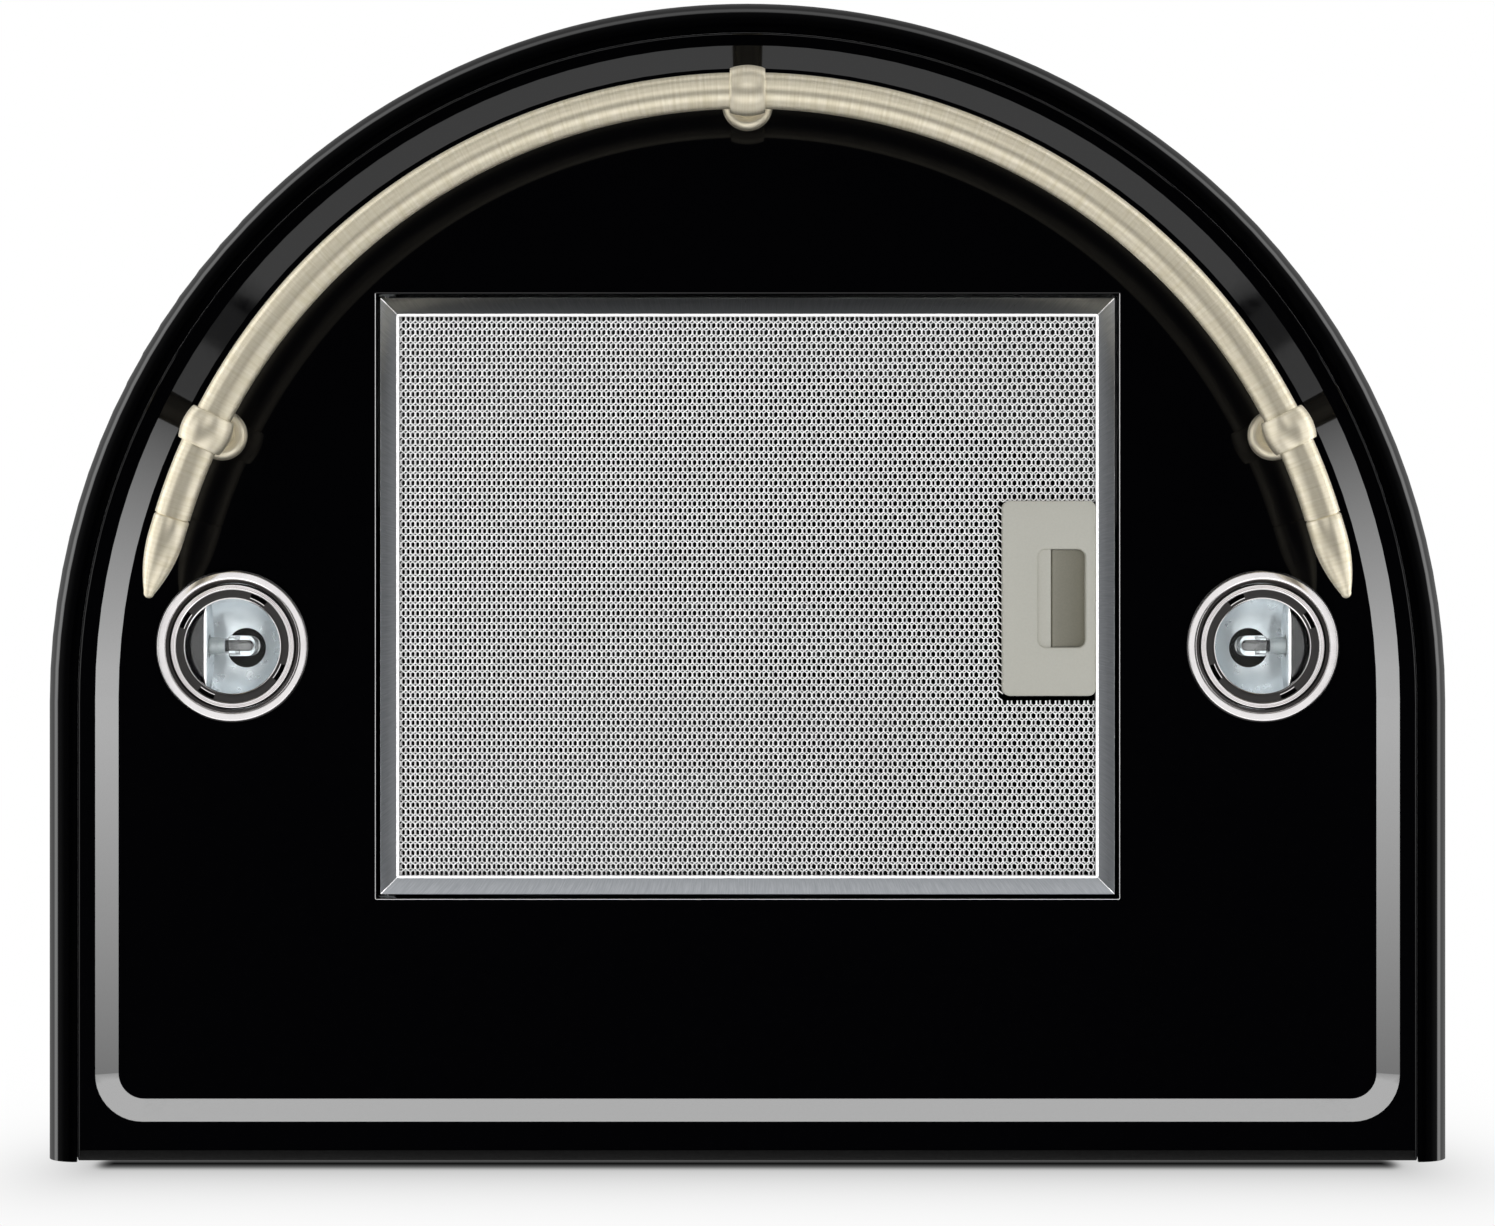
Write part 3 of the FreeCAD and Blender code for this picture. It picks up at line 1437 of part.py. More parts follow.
def mirrored_pair(shape):
    """Lamp piece at both lamps, as one group."""
    return Part.makeCompound([at_lamp(shape, side) for side in (-1, 1)])


def write(name, shape):
    """Check a piece and write it with the origin at the keyholes."""
    placed = moved(shape, 0, 0, -hang_drop)
    if not placed.isValid() or not placed.Solids:
        raise ValueError(name + " is not a valid solid")
    placed.exportStep(os.path.join("parts", name + ".step"))
    print(name, len(placed.Solids), round(placed.Volume))


def main():
    """Build and write every piece."""
    os.makedirs("parts", exist_ok=True)
    write("canopy_shell", canopy_shell())
    write("underside_panel", underside_panel())
    write("back_plate", back_plate())
    write("chimney_lower", chimney_lower())
    write("chimney_upper", chimney_upper())
    write("chimney_bracket", chimney_bracket())
    write("chimney_screws", Part.makeCompound([chimney_screw(side) for side in (-1, 1)]))
    write("scroll_front", scroll_half(-1))
    write("scroll_back", scroll_half(1))
    write("impeller", impeller())
    write("impeller_nut", impeller_nut())
    write("motor_shaft", motor_shaft())
    write("motor_body", motor_body())
    write("motor_bracket", motor_bracket())
    write("blower_screws", blower_screws())
    write("blower_mount_frame", blower_mount_frame())
    write("duct_collar", duct_collar())
    write("flap_pin", flap_pin())
    write("flap_left", flap(-1))
    write("flap_right", flap(1))
    write("transformer", transformer())
    write("terminal_box", terminal_box())
    write("cable_gland", cable_gland())
    write("capacitor", capacitor())
    write("capacitor_clip", capacitor_clip())
    write("control_bezel", control_bezel())
    write("switch_block", switch_block())
    for name, turn in zip(button_names, button_turns()):
        write("button_" + name, button(turn))
    write("rail_tube", rail_tube())
    for name, place in zip(("left", "center", "right"), bracket_places()):
        write("rail_bracket_" + name, rail_bracket(*place))
    write("rail_rosettes", Part.makeCompound([rosette(x, y) for x, y, _ in bracket_places()]))
    write("rail_screws", rail_screws())
    write("filter_frame", filter_frame())
    write("filter_mesh_front", mesh_sheet_solid(mesh_level))
    write("filter_mesh_back", mesh_sheet_solid(mesh_level + mesh_spacing))
    write("filter_hinge_lugs", filter_hinge_lugs())
    write("filter_hinge_pins", hinge_pins_group())
    write("latch_plate", latch_plate())
    write("latch_slider", latch_slider())
    for name, side in (("left", -1), ("right", 1)):
        write("rail_end_" + name, rail_end(side))
        write("lamp_trim_" + name, at_lamp(lamp_trim(), side))
        write("lamp_retainer_" + name, at_lamp(lamp_retainer(), side))
        write("lamp_glass_" + name, at_lamp(lamp_glass(), side))
        write("lamp_reflector_" + name, at_lamp(lamp_reflector(), side))
        write("lamp_bulb_" + name, at_lamp(lamp_bulb(), side))
    write("lamp_shields", mirrored_pair(lamp_shield()))
    write("lamp_sockets", mirrored_pair(lamp_socket()))
    write("lamp_housings", mirrored_pair(lamp_housing()))


main()
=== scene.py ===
"""Looks of a wall range hood: enamel canopy, grab rail, grease filter, lamps and what they hold.

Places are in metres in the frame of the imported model: X to the right, Y into the wall, Z up.
Sizes of pieces are in millimetres and angles in degrees, with heights above the hood's rim.
"""

import json
import logging
import math
from dataclasses import dataclass, replace
from enum import Enum

import bmesh
import bpy
from mathutils import Matrix, Vector


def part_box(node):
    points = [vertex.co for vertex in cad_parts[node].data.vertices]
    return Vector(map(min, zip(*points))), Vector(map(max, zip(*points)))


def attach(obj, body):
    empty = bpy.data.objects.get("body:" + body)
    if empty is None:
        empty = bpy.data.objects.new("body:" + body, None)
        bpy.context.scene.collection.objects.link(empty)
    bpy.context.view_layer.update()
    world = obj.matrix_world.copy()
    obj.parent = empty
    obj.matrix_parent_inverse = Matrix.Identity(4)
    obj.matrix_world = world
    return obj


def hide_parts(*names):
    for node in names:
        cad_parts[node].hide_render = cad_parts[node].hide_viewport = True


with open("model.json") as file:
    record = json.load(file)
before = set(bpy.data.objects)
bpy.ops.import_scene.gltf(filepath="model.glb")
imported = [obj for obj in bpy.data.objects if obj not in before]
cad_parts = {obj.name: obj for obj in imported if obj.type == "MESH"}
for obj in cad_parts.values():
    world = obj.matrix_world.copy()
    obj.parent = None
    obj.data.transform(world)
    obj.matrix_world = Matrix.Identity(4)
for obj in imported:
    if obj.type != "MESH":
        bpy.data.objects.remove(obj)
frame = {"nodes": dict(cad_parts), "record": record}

LOG = logging.getLogger("range_hood")
MM = 0.001
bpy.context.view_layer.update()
SHELL_LOW, SHELL_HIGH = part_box("canopy_shell")
RIM_Z = SHELL_LOW.z
HALF_WIDTH = SHELL_HIGH.x / MM
ARCH_Y = SHELL_LOW.y / MM + HALF_WIDTH
PANEL = 5.0
SHARP_EDGE = 35.0
MERGE_M = 1e-7
DOWN, UP = Vector((0, 0, -1)), Vector((0, 0, 1))
EAST, NORTH = Vector((1, 0, 0)), Vector((0, 1, 0))

Point = tuple[float, float]
Row = list[Vector]


class Side(Enum):
    """Left or right of the hood, as seen from the front."""

    LEFT = -1
    RIGHT = 1

    @property
    def word(self) -> str:
        """Lower-case name, as the model's nodes have it."""
        return self.name.lower()


def at(x: float, y: float, z: float) -> Vector:
    """Place in the frame, from millimetres to the right of the middle, towards the wall and above the rim."""
    return Vector((x * MM, y * MM, z * MM + RIM_Z))


def linear(code: str) -> tuple[float, float, float, float]:
    """Linear colour of an sRGB hex code.

    Args:
        code: Six hex digits after a hash.

    Returns:
        Red, green, blue and full opacity as Blender stores them.
    """
    levels = [int(code[start:start + 2], 16) / 255 for start in (1, 3, 5)]
    red, green, blue = [v / 12.92 if v <= 0.04045 else ((v + 0.055) / 1.055) ** 2.4 for v in levels]
    return red, green, blue, 1.0


def add(tree: bpy.types.NodeTree, kind: str, inputs: dict | None = None, out: str | int = 0,
        stops: tuple[tuple[float, str], ...] = (), **settings) -> bpy.types.NodeSocket | None:
    """Adds one node with its settings, values and links.

    Args:
        tree: Tree that gets the node.
        kind: Blender's name of the node type.
        inputs: Socket name or number, and its value or the output that feeds it.
        out: Name or number of the output to hand back.
        stops: Places from 0 to 1 with sRGB hex codes, in order, if the node is a colour ramp.
        settings: Properties of the node.

    Returns:
        That output, or None for the node that ends a tree.
    """
    node = tree.nodes.new(kind)
    for name, value in settings.items():
        setattr(node, name, value)
    for name, value in (inputs or {}).items():
        if isinstance(value, bpy.types.NodeSocket):
            tree.links.new(value, node.inputs[name])
        else:
            node.inputs[name].default_value = value
    for number, (place, code) in enumerate(stops):
        elements = node.color_ramp.elements
        element = elements[number] if number < len(elements) else elements.new(place)
        element.position, element.color = place, linear(code)
    return node.outputs[out] if node.outputs else None


class Grain(Enum):
    """How a surface was made, and so where its marks run."""

    SMOOTH = "smooth"
    ORANGE_PEEL = "orange peel"
    BRUSHED = "brushed"
    SPANGLE = "spangle"
    MOULDED = "moulded"


@dataclass(frozen=True)
class Finish:
    """One finish: what it is made of and how its surface was made."""

    name: str
    colour: str
    shade: str
    roughness: float
    grain: Grain
    grain_mm: float
    bump_mm: float
    spread: float
    metallic: float = 0.0
    ior: float = 1.5
    transmission: float = 0.0

    def pattern(self, tree: bpy.types.NodeTree) -> bpy.types.NodeSocket:
        """Noise or cells at the grain's real size.

        Args:
            tree: Material's tree.

        Returns:
            A value from 0 to 1 over the surface.
        """
        fineness = 1 / (self.grain_mm * MM)
        place = add(tree, "ShaderNodeTexCoord", out="UV" if self.grain is Grain.BRUSHED else "Object")
        if self.grain is Grain.BRUSHED:
            lines = add(tree, "ShaderNodeMapping", {"Vector": place, "Scale": (fineness, fineness / 14, 1)})
            return add(tree, "ShaderNodeTexNoise", {"Vector": lines, "Scale": 1.0, "Detail": 5.0}, "Fac")
        if self.grain is Grain.SPANGLE:
            cells = add(tree, "ShaderNodeTexVoronoi", {"Vector": place, "Scale": fineness}, "Color")
            return add(tree, "ShaderNodeSeparateColor", {"Color": cells}, "Red")
        return add(tree, "ShaderNodeTexNoise", {"Vector": place, "Scale": fineness, "Detail": 3.0}, "Fac")

    def material(self) -> bpy.types.Material:
        """Makes the material, or finds it if it was made before.

        Returns:
            The material.
        """
        known = bpy.data.materials.get(self.name)
        if known:
            return known
        made = bpy.data.materials.new(self.name)
        made.use_nodes = True
        tree = made.node_tree
        shader = tree.nodes["Principled BSDF"]
        for name, value in (("Metallic", self.metallic), ("IOR", self.ior),
                            ("Transmission Weight", self.transmission)):
            shader.inputs[name].default_value = value
        pattern = self.pattern(tree)
        patterned = {
            "Base Color": add(tree, "ShaderNodeValToRGB", {"Fac": pattern},
                              stops=((0.25, self.shade), (0.75, self.colour))),
            "Roughness": add(tree, "ShaderNodeMapRange", {
                "Value": pattern, "From Min": 0.25, "From Max": 0.75, "To Min": self.roughness + self.spread,
                "To Max": max(self.roughness - self.spread, 0.01)}),
        }
        if self.bump_mm:
            patterned["Normal"] = add(tree, "ShaderNodeBump", {
                "Height": pattern, "Strength": 1.0, "Distance": self.bump_mm * MM})
        for name, socket in patterned.items():
            tree.links.new(socket, shader.inputs[name])
        return made


# Glass fused to steel: near black, mirror-smooth, with a faint orange peel
ENAMEL = Finish("black_vitreous_enamel", "#030304", "#020203", 0.05, Grain.ORANGE_PEEL, 4.0, 0.0006, 0.015)
# The same enamel fired on the flat panel, thinner and less glossy than on the canopy
PANEL_ENAMEL = replace(ENAMEL, name="panel_enamel", ior=1.25)
# Dull black primer on the sheet that faces the wall
BLACK_PRIMER = Finish("black_primer", "#1C1C1C", "#151515", 0.75, Grain.ORANGE_PEEL, 1.5, 0.01, 0.05, ior=1.3)
# Lacquered brass, brushed round the bar: pale gold, its cross lines drawn 1.3 mm apart so that they show
BRUSHED_BRASS = Finish("brushed_brass", "#F8F0DC", "#E0D6BA", 0.44, Grain.BRUSHED, 1.3, 0.003, 0.05, 1.0)
# Turned brass, polished but not mirror bright
SATIN_BRASS = Finish("satin_brass", "#F6EEDA", "#E6DCC2", 0.44, Grain.BRUSHED, 0.9, 0.0015, 0.04, 1.0)
# Chromium on brass: cool, mirror-like
CHROME = Finish("polished_chrome", "#F2EFEF", "#E6E2E2", 0.15, Grain.SMOOTH, 9.0, 0.0, 0.03, 1.0)
# Anodised aluminium, vacuum-brightened inside the lamp bowls
MIRROR = Finish("bright_aluminium", "#ECF1F4", "#DCE3E7", 0.3, Grain.SMOOTH, 6.0, 0.02, 0.05, 0.75)
# Expanded aluminium, washed bright: pale with a slight satin
ALUMINIUM = Finish("expanded_aluminium", "#F8F8F8", "#E4E4E4", 0.42, Grain.SMOOTH, 2.0, 0.01, 0.08, 0.3)
# Aluminium frame, brushed along each member
BRUSHED_ALUMINIUM = Finish("brushed_aluminium", "#C2C5C9", "#A6AAAF", 0.3, Grain.BRUSHED, 0.6, 0.0015, 0.03, 1.0)
# Cut edge of the frame's sheet: real bare aluminium, painted plain white as the highlight along the edge
BRIGHT_EDGE = Finish("cut_aluminium_edge", "#FFFFFF", "#F4F4F4", 0.3, Grain.SMOOTH, 1.0, 0.0, 0.05, 0.2)
# Hot-dip zinc on sheet steel: grey crystals some 9 mm across
GALVANISED = Finish("galvanised_sheet", "#A9ADAF", "#8C9194", 0.38, Grain.SPANGLE, 9.0, 0.0, 0.09, 0.9)
# Galvanised sheet of the blower, painted dark as the shade inside the hood that shows through the filter
SHADE_DARK_SHEET = Finish("shade_darkened_galvanised", "#3E4144", "#303336", 0.6, Grain.SPANGLE, 9.0, 0.0, 0.06, 0.3)
# Borosilicate glass: clear, with sharp highlights
GLASS = Finish("lamp_glass", "#FFFFFF", "#FAFCFC", 0.02, Grain.SMOOTH, 30.0, 0.0, 0.0, ior=1.47, transmission=1.0)
# The same glass as a thin flat cover with a coating that keeps glare down
COVER_GLASS = replace(GLASS, name="coated_cover_glass", ior=1.1)
# Quartz glass pressed flat round its pins: grey and cloudy
PINCHED_GLASS = Finish("pinched_quartz", "#A9B0B2", "#8C9496", 0.3, Grain.SMOOTH, 2.5, 0.02, 0.08)
# Moulded ABS with a fine spark texture: warm pale grey, soft highlights
GREY_PLASTIC = Finish("grey_abs", "#BFBEB4", "#BAB9AF", 0.45, Grain.MOULDED, 0.8, 0.004, 0.04)
# The same plastic on the slide, painted darker as the shade in the finger pocket
SHADED_PLASTIC = Finish("shade_darkened_grey_abs", "#827F72", "#7A786B", 0.42, Grain.MOULDED, 0.8, 0.004, 0.04)
# Black ABS with a fine texture: a broad grey sheen
BLACK_PLASTIC = Finish("black_abs", "#141416", "#101012", 0.3, Grain.MOULDED, 0.9, 0.006, 0.05)
# Heat-proof phenolic ring with a brown cast
BROWN_PLASTIC = Finish("brown_phenolic", "#1D1715", "#141010", 0.4, Grain.MOULDED, 1.2, 0.006, 0.06)
# Shade at the bottom of a slot: dull black that gives nothing back
SLOT_BLACK = Finish("slot_shade", "#030303", "#010101", 0.9, Grain.SMOOTH, 1.0, 0.0, 0.0, ior=1.1)
# Off-white ink printed on the buttons
MARK_INK = Finish("mark_ink", "#C9C9C4", "#BEBEB8", 0.5, Grain.SMOOTH, 0.6, 0.002, 0.05)
# Bright zinc plate on screws and pins: cool silver
ZINC = Finish("zinc_screw", "#C9CCCE", "#A9ADB0", 0.3, Grain.SMOOTH, 1.5, 0.004, 0.08, 1.0)
# Unglazed steatite of the lamp sockets: chalky cream
CERAMIC = Finish("steatite", "#E6E1D4", "#DAD4C4", 0.55, Grain.SMOOTH, 1.5, 0.01, 0.05)
# Turned steel of shafts and pins: mid grey with fine marks
STEEL = Finish("turned_steel", "#B9BBBD", "#8F9295", 0.28, Grain.SMOOTH, 1.5, 0.002, 0.08, 1.0)
# Sprayed enamel on the motor: dark blue-grey, half gloss
MOTOR_PAINT = Finish("motor_paint", "#2E3236", "#24282B", 0.42, Grain.ORANGE_PEEL, 2.0, 0.01, 0.06)

NODE_FINISHES = {
    "underside_panel": PANEL_ENAMEL, "back_plate": BLACK_PRIMER, "lamp_housings": BLACK_PRIMER,
    # The blower parts get the sheet painted dark as the shade inside the hood.
    "scroll_front": SHADE_DARK_SHEET, "scroll_back": SHADE_DARK_SHEET, "impeller": SHADE_DARK_SHEET,
}
SLOT_FINISHES = {
    "enamel": ENAMEL, "galvanised": GALVANISED, "brass": SATIN_BRASS, "aluminium": ALUMINIUM,
    "chrome": CHROME, "mirror": MIRROR, "glass": GLASS, "black_plastic": BLACK_PLASTIC,
    "grey_plastic": GREY_PLASTIC, "zinc_screw": ZINC, "ceramic": CERAMIC, "steel": STEEL,
    "motor_paint": MOTOR_PAINT,
}


def arc(centre: Point, across: float, up: float, start: float, end: float, steps: int) -> list[Point]:
    """Points along part of a circle or an ellipse.

    Args:
        centre: Its middle.
        across: Radius along the first axis; a negative one mirrors it.
        up: Radius along the second axis; a negative one mirrors it.
        start: First angle.
        end: Last angle.
        steps: Divisions.

    Returns:
        The points, with both ends.
    """
    turns = [math.radians(start + (end - start) * step / steps) for step in range(steps + 1)]
    return [(centre[0] + across * math.cos(turn), centre[1] + up * math.sin(turn)) for turn in turns]


def rounded(corners: list[Point], radius: float, steps: int = 4, closed: bool = False) -> list[Point]:
    """Outline with its corners rounded.

    Args:
        corners: Corner points in order.
        radius: Largest radius; short sides get less.
        steps: Divisions of each corner.
        closed: Whether the last point joins the first.

    Returns:
        The outline's points.
    """
    points = [Vector(corner) for corner in corners]
    result: list[Point] = []
    for index, point in enumerate(points):
        if not closed and index in (0, len(points) - 1):
            result.append(tuple(point))
            continue
        before, after = points[index - 1] - point, points[(index + 1) % len(points)] - point
        cut = min(radius / math.tan(before.angle(after) / 2), before.length * 0.45, after.length * 0.45)
        start, end = point + before.normalized() * cut, point + after.normalized() * cut
        for step in range(steps + 1):
            share = step / steps
            result.append(tuple(start * (1 - share) ** 2 + point * 2 * share * (1 - share) + end * share ** 2))
    return result


def circle(centre: Vector, first: Vector, second: Vector, radius: float, steps: int) -> Row:
    """Ring of places round a centre in metres, from its two axes and its radius."""
    turns = [math.tau * step / steps for step in range(steps)]
    return [centre + (first * math.cos(turn) + second * math.sin(turn)) * radius * MM for turn in turns]


def rounded_rectangle(x_span: Point, y_span: Point, z: float, radius: float, steps: int = 8,
                      along: int = 6) -> Row:
    """Closed loop of a rounded rectangle, always with the same number of points.

    Args:
        x_span: Lower and upper x.
        y_span: Lower and upper y.
        z: Height.
        radius: Corner radius.
        steps: Divisions of each corner.
        along: Divisions of each side.

    Returns:
        Places in the frame.
    """
    corners = []
    for start, (x, y) in enumerate(((1, 1), (0, 1), (0, 0), (1, 0))):
        centre = (x_span[x] + radius * (1 - 2 * x), y_span[y] + radius * (1 - 2 * y))
        corners.append([at(*spot, z) for spot in arc(centre, radius, radius, 90 * start, 90 * start + 90, steps)])
    loop: Row = []
    for corner, following in zip(corners, corners[1:] + corners[:1]):
        loop += corner + [corner[-1].lerp(following[0], step / along) for step in range(1, along)]
    return loop


def place(name: str, data: bpy.types.ID) -> bpy.types.Object:
    """New object of the scene, at the origin, with its mesh, camera, light or text."""
    made = bpy.data.objects.new(name, data)
    bpy.context.scene.collection.objects.link(made)
    return made


def evaluated_mesh(carrier: bpy.types.Object) -> bpy.types.Mesh:
    """Plain mesh of a text or of an object with modifiers."""
    graph = bpy.context.evaluated_depsgraph_get()
    return bpy.data.meshes.new_from_object(carrier.evaluated_get(graph), depsgraph=graph)


def settle(piece: bpy.types.Object, body: str, node: str) -> bpy.types.Object:
    """Joins a finished piece to its body and reports it.

    Args:
        piece: The piece.
        body: Body that carries it.
        node: Node that it stands for, or "" for none.

    Returns:
        The piece.
    """
    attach(piece, body)
    if node:
        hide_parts(node)
    LOG.info("%s rides on %s for %s", piece.name, body, node or "itself")
    return piece


class Surface:
    """Mesh of one piece, gathered from rows of points."""

    def __init__(self, name: str) -> None:
        """Starts an empty mesh for a piece of that name."""
        self.name = name
        self.mesh = bmesh.new()
        self.uv = self.mesh.loops.layers.uv.new("UVMap")

    def rows(self, rows: list[Row], around: bool = True, ends: bool = False, caps: bool = False,
             slot: int = 0) -> None:
        """Adds a skin through rows of points, each with as many points.

        Args:
            rows: Rows of places. U follows the rows, V the points of a row, both in metres.
            around: Whether each row closes on itself.
            ends: Whether the last row joins the first.
            caps: Whether the first and last rows are closed with flat faces.
            slot: Material slot of the faces.
        """
        if ends:
            rows = rows + [rows[0]]
        down = [0.0]
        for upper, lower in zip(rows, rows[1:]):
            down.append(down[-1] + (lower[0] - upper[0]).length)
        widest = max(rows, key=lambda row: (row[len(row) // 2] - row[0]).length)
        across = [0.0]
        for one, other in zip(widest, widest[1:] + widest[:1]):
            across.append(across[-1] + (other - one).length)
        placed = [[self.mesh.verts.new(point) for point in row] for row in rows]
        count = len(rows[0])
        for i in range(len(rows) - 1):
            for j in range(count if around else count - 1):
                corners = ((i, j), (i + 1, j), (i + 1, j + 1), (i, j + 1))
                face = self.mesh.faces.new([placed[row][column % count] for row, column in corners])
                face.smooth = True
                face.material_index = slot
                for loop, (row, column) in zip(face.loops, corners):
                    loop[self.uv].uv = (down[row], across[column])
        if caps:
            self.cap(rows[0], slot)
            self.cap(rows[-1], slot)

    def cap(self, row: Row, slot: int = 0) -> None:
        """Adds one flat face over a closed row.

        Args:
            row: Places of the row.
            slot: Material slot of the face.
        """
        face = self.mesh.faces.new([self.mesh.verts.new(point) for point in row])
        face.material_index = slot
        for loop in face.loops:
            loop[self.uv].uv = (loop.vert.co.x, loop.vert.co.y)

    def lathe(self, profile: list[Point], base: Vector, axis: Vector = UP, steps: int = 96, slot: int = 0,
              ends: bool = False) -> None:
        """Adds a surface of revolution.

        Args:
            profile: Radii and heights along the axis.
            base: Where height 0 is, in metres.
            axis: Direction of the heights.
            steps: Divisions of a turn.
            slot: Material slot of the faces.
            ends: Whether the profile closes on itself.
        """
        turned = axis.normalized().to_track_quat("Z", "Y")
        self.rows([circle(base + turned @ UP * height * MM, turned @ EAST, turned @ NORTH, radius, steps)
                   for radius, height in profile], ends=ends, slot=slot)

    def settle(self, body: str, node: str, slot: str, *finishes: Finish) -> bpy.types.Object:
        """Closes seams, turns faces outwards and makes the piece.

        Args:
            body: Body that carries it.
            node: Node that it stands for, or "" for none.
            finishes: Finish of each material slot.

        Returns:
            The piece, at the origin.
        """
        bmesh.ops.remove_doubles(self.mesh, verts=self.mesh.verts, dist=MERGE_M)
        bmesh.ops.dissolve_degenerate(self.mesh, edges=self.mesh.edges, dist=MERGE_M / 10)
        bmesh.ops.recalc_face_normals(self.mesh, faces=self.mesh.faces)
        data = bpy.data.meshes.new(self.name)
        self.mesh.to_mesh(data)
        self.mesh.free()
        for finish in finishes:
            data.materials.append(finish.material())
        data.set_sharp_from_angle(angle=math.radians(SHARP_EDGE))
        return settle(place(self.name, data), body, node)


@dataclass
class GrabRail:
    """Brass rail bent round the front, on three brackets."""

    radius: float = 249.4
    centre_y: float = ARCH_Y - 5.5
    level: float = -39.0
    tube: float = 7.5
    tube_steps: int = 220
    half_angle: float = 73.0
    bracket_angle: float = 64.2
    end_length: float = 35.5
    end_cylinder: float = 8.0
    groove: float = 0.6
    tip: float = 2.2
    collar_edge: float = 9.2
    collar: float = 10.5
    collar_width: float = 14.7
    collar_round: float = 0.6
    neck: float = 5.85
    rosette: float = 10.8
    rosette_height: float = 5.0
    rosette_edge: float = 1.4

    def spot(self, angle: float) -> Vector:
        """Point of the rail's line at an angle from the front."""
        turn = math.radians(angle)
        return at(self.radius * math.sin(turn), self.centre_y - self.radius * math.cos(turn), self.level)

    def heading(self, angle: float) -> Vector:
        """Direction of the rail's line at an angle from the front, towards the right."""
        return Vector((math.cos(math.radians(angle)), math.sin(math.radians(angle)), 0))

    def bar(self) -> None:
        """Bent tube between the two ends."""
        surface = Surface("rail_bar")
        angles = [self.half_angle * (2 * step / self.tube_steps - 1) for step in range(self.tube_steps + 1)]
        surface.rows([circle(self.spot(angle), self.heading(angle).cross(UP), UP, self.tube, 48)
                      for angle in angles], caps=True)
        surface.settle("root", "rail_tube", "brass", BRUSHED_BRASS)

    def finial(self, side: Side) -> None:
        """Bullet-shaped end behind a fine groove.

        Args:
            side: End of the rail.
        """
        surface = Surface(f"rail_finial_{side.word}")
        waist = self.tube - self.groove
        profile = [(0.0, -0.2), (waist, -0.2), (waist, self.groove * 0.7), (self.tube - 0.15, self.groove * 1.4),
                   (self.tube, self.groove * 2), (self.tube, self.end_cylinder)]
        taper = self.end_length - self.tip - self.end_cylinder
        narrowing = self.tube - self.tip
        ogive = (taper ** 2 + narrowing ** 2) / (2 * narrowing)
        for run in [taper * step / 16 for step in range(1, 17)]:
            profile.append((self.tube - ogive + math.sqrt(ogive ** 2 - run ** 2), self.end_cylinder + run))
        profile += arc((0.0, self.end_length - self.tip), self.tip, self.tip, 0, 90, 8)[1:]
        angle = side.value * self.half_angle
        surface.lathe(profile, self.spot(angle), self.heading(angle) * side.value, 64)
        surface.settle("root", f"rail_end_{side.word}", "brass", BRUSHED_BRASS)

    def post(self, word: str, angle: float) -> None:
        """Barrel-shaped collar round the tube, with a neck up to the panel.

        Args:
            word: Where the bracket is.
            angle: Its angle from the front.
        """
        surface = Surface(f"rail_post_{word}")
        half, shoulder = self.collar_width / 2, self.collar_edge + 0.3
        lower = rounded([(self.tube, -half), (self.collar_edge, -half), (shoulder, -half * 0.8)], self.collar_round)
        upper = rounded([(shoulder, half * 0.8), (self.collar_edge, half), (self.tube, half)], self.collar_round)
        bulge = self.collar - self.collar_edge
        barrel = [(self.collar_edge + bulge * (1 - (step / 8) ** 2), half * step / 8) for step in range(-7, 8)]
        surface.lathe(lower[:-1] + barrel + upper[1:], self.spot(angle), self.heading(angle), 72, ends=True)
        start, reach = self.tube * 0.9, PANEL - self.level
        surface.lathe([(0.0, start), (self.neck, start), (self.neck, reach), (0.0, reach)], self.spot(angle), UP, 48)
        surface.settle("root", f"rail_bracket_{word}", "brass", SATIN_BRASS)

    def rosettes(self) -> None:
        """Shallow domes where the necks meet the panel."""
        surface = Surface("rail_rosette_domes")
        crown = self.neck + self.rosette_edge
        foot = rounded([(self.neck, 0.0), (self.rosette, 0.0), (self.rosette, self.rosette_edge)], 0.25, 3)
        dome = arc((crown, self.rosette_edge), self.rosette - crown, self.rosette_height - self.rosette_edge, 0, 90, 12)
        for angle in (-self.bracket_angle, 0.0, self.bracket_angle):
            base = self.spot(angle) + UP * (PANEL - self.level) * MM
            surface.lathe(foot + dome[1:] + [(self.neck, self.rosette_height)], base, DOWN, 64, ends=True)
        surface.settle("root", "rail_rosettes", "brass", SATIN_BRASS)

    def build(self) -> None:
        """Makes the rail's pieces."""
        self.bar()
        for side in Side:
            self.finial(side)
        for word, angle in (("left", -self.bracket_angle), ("center", 0.0), ("right", self.bracket_angle)):
            self.post(word, angle)
        self.rosettes()


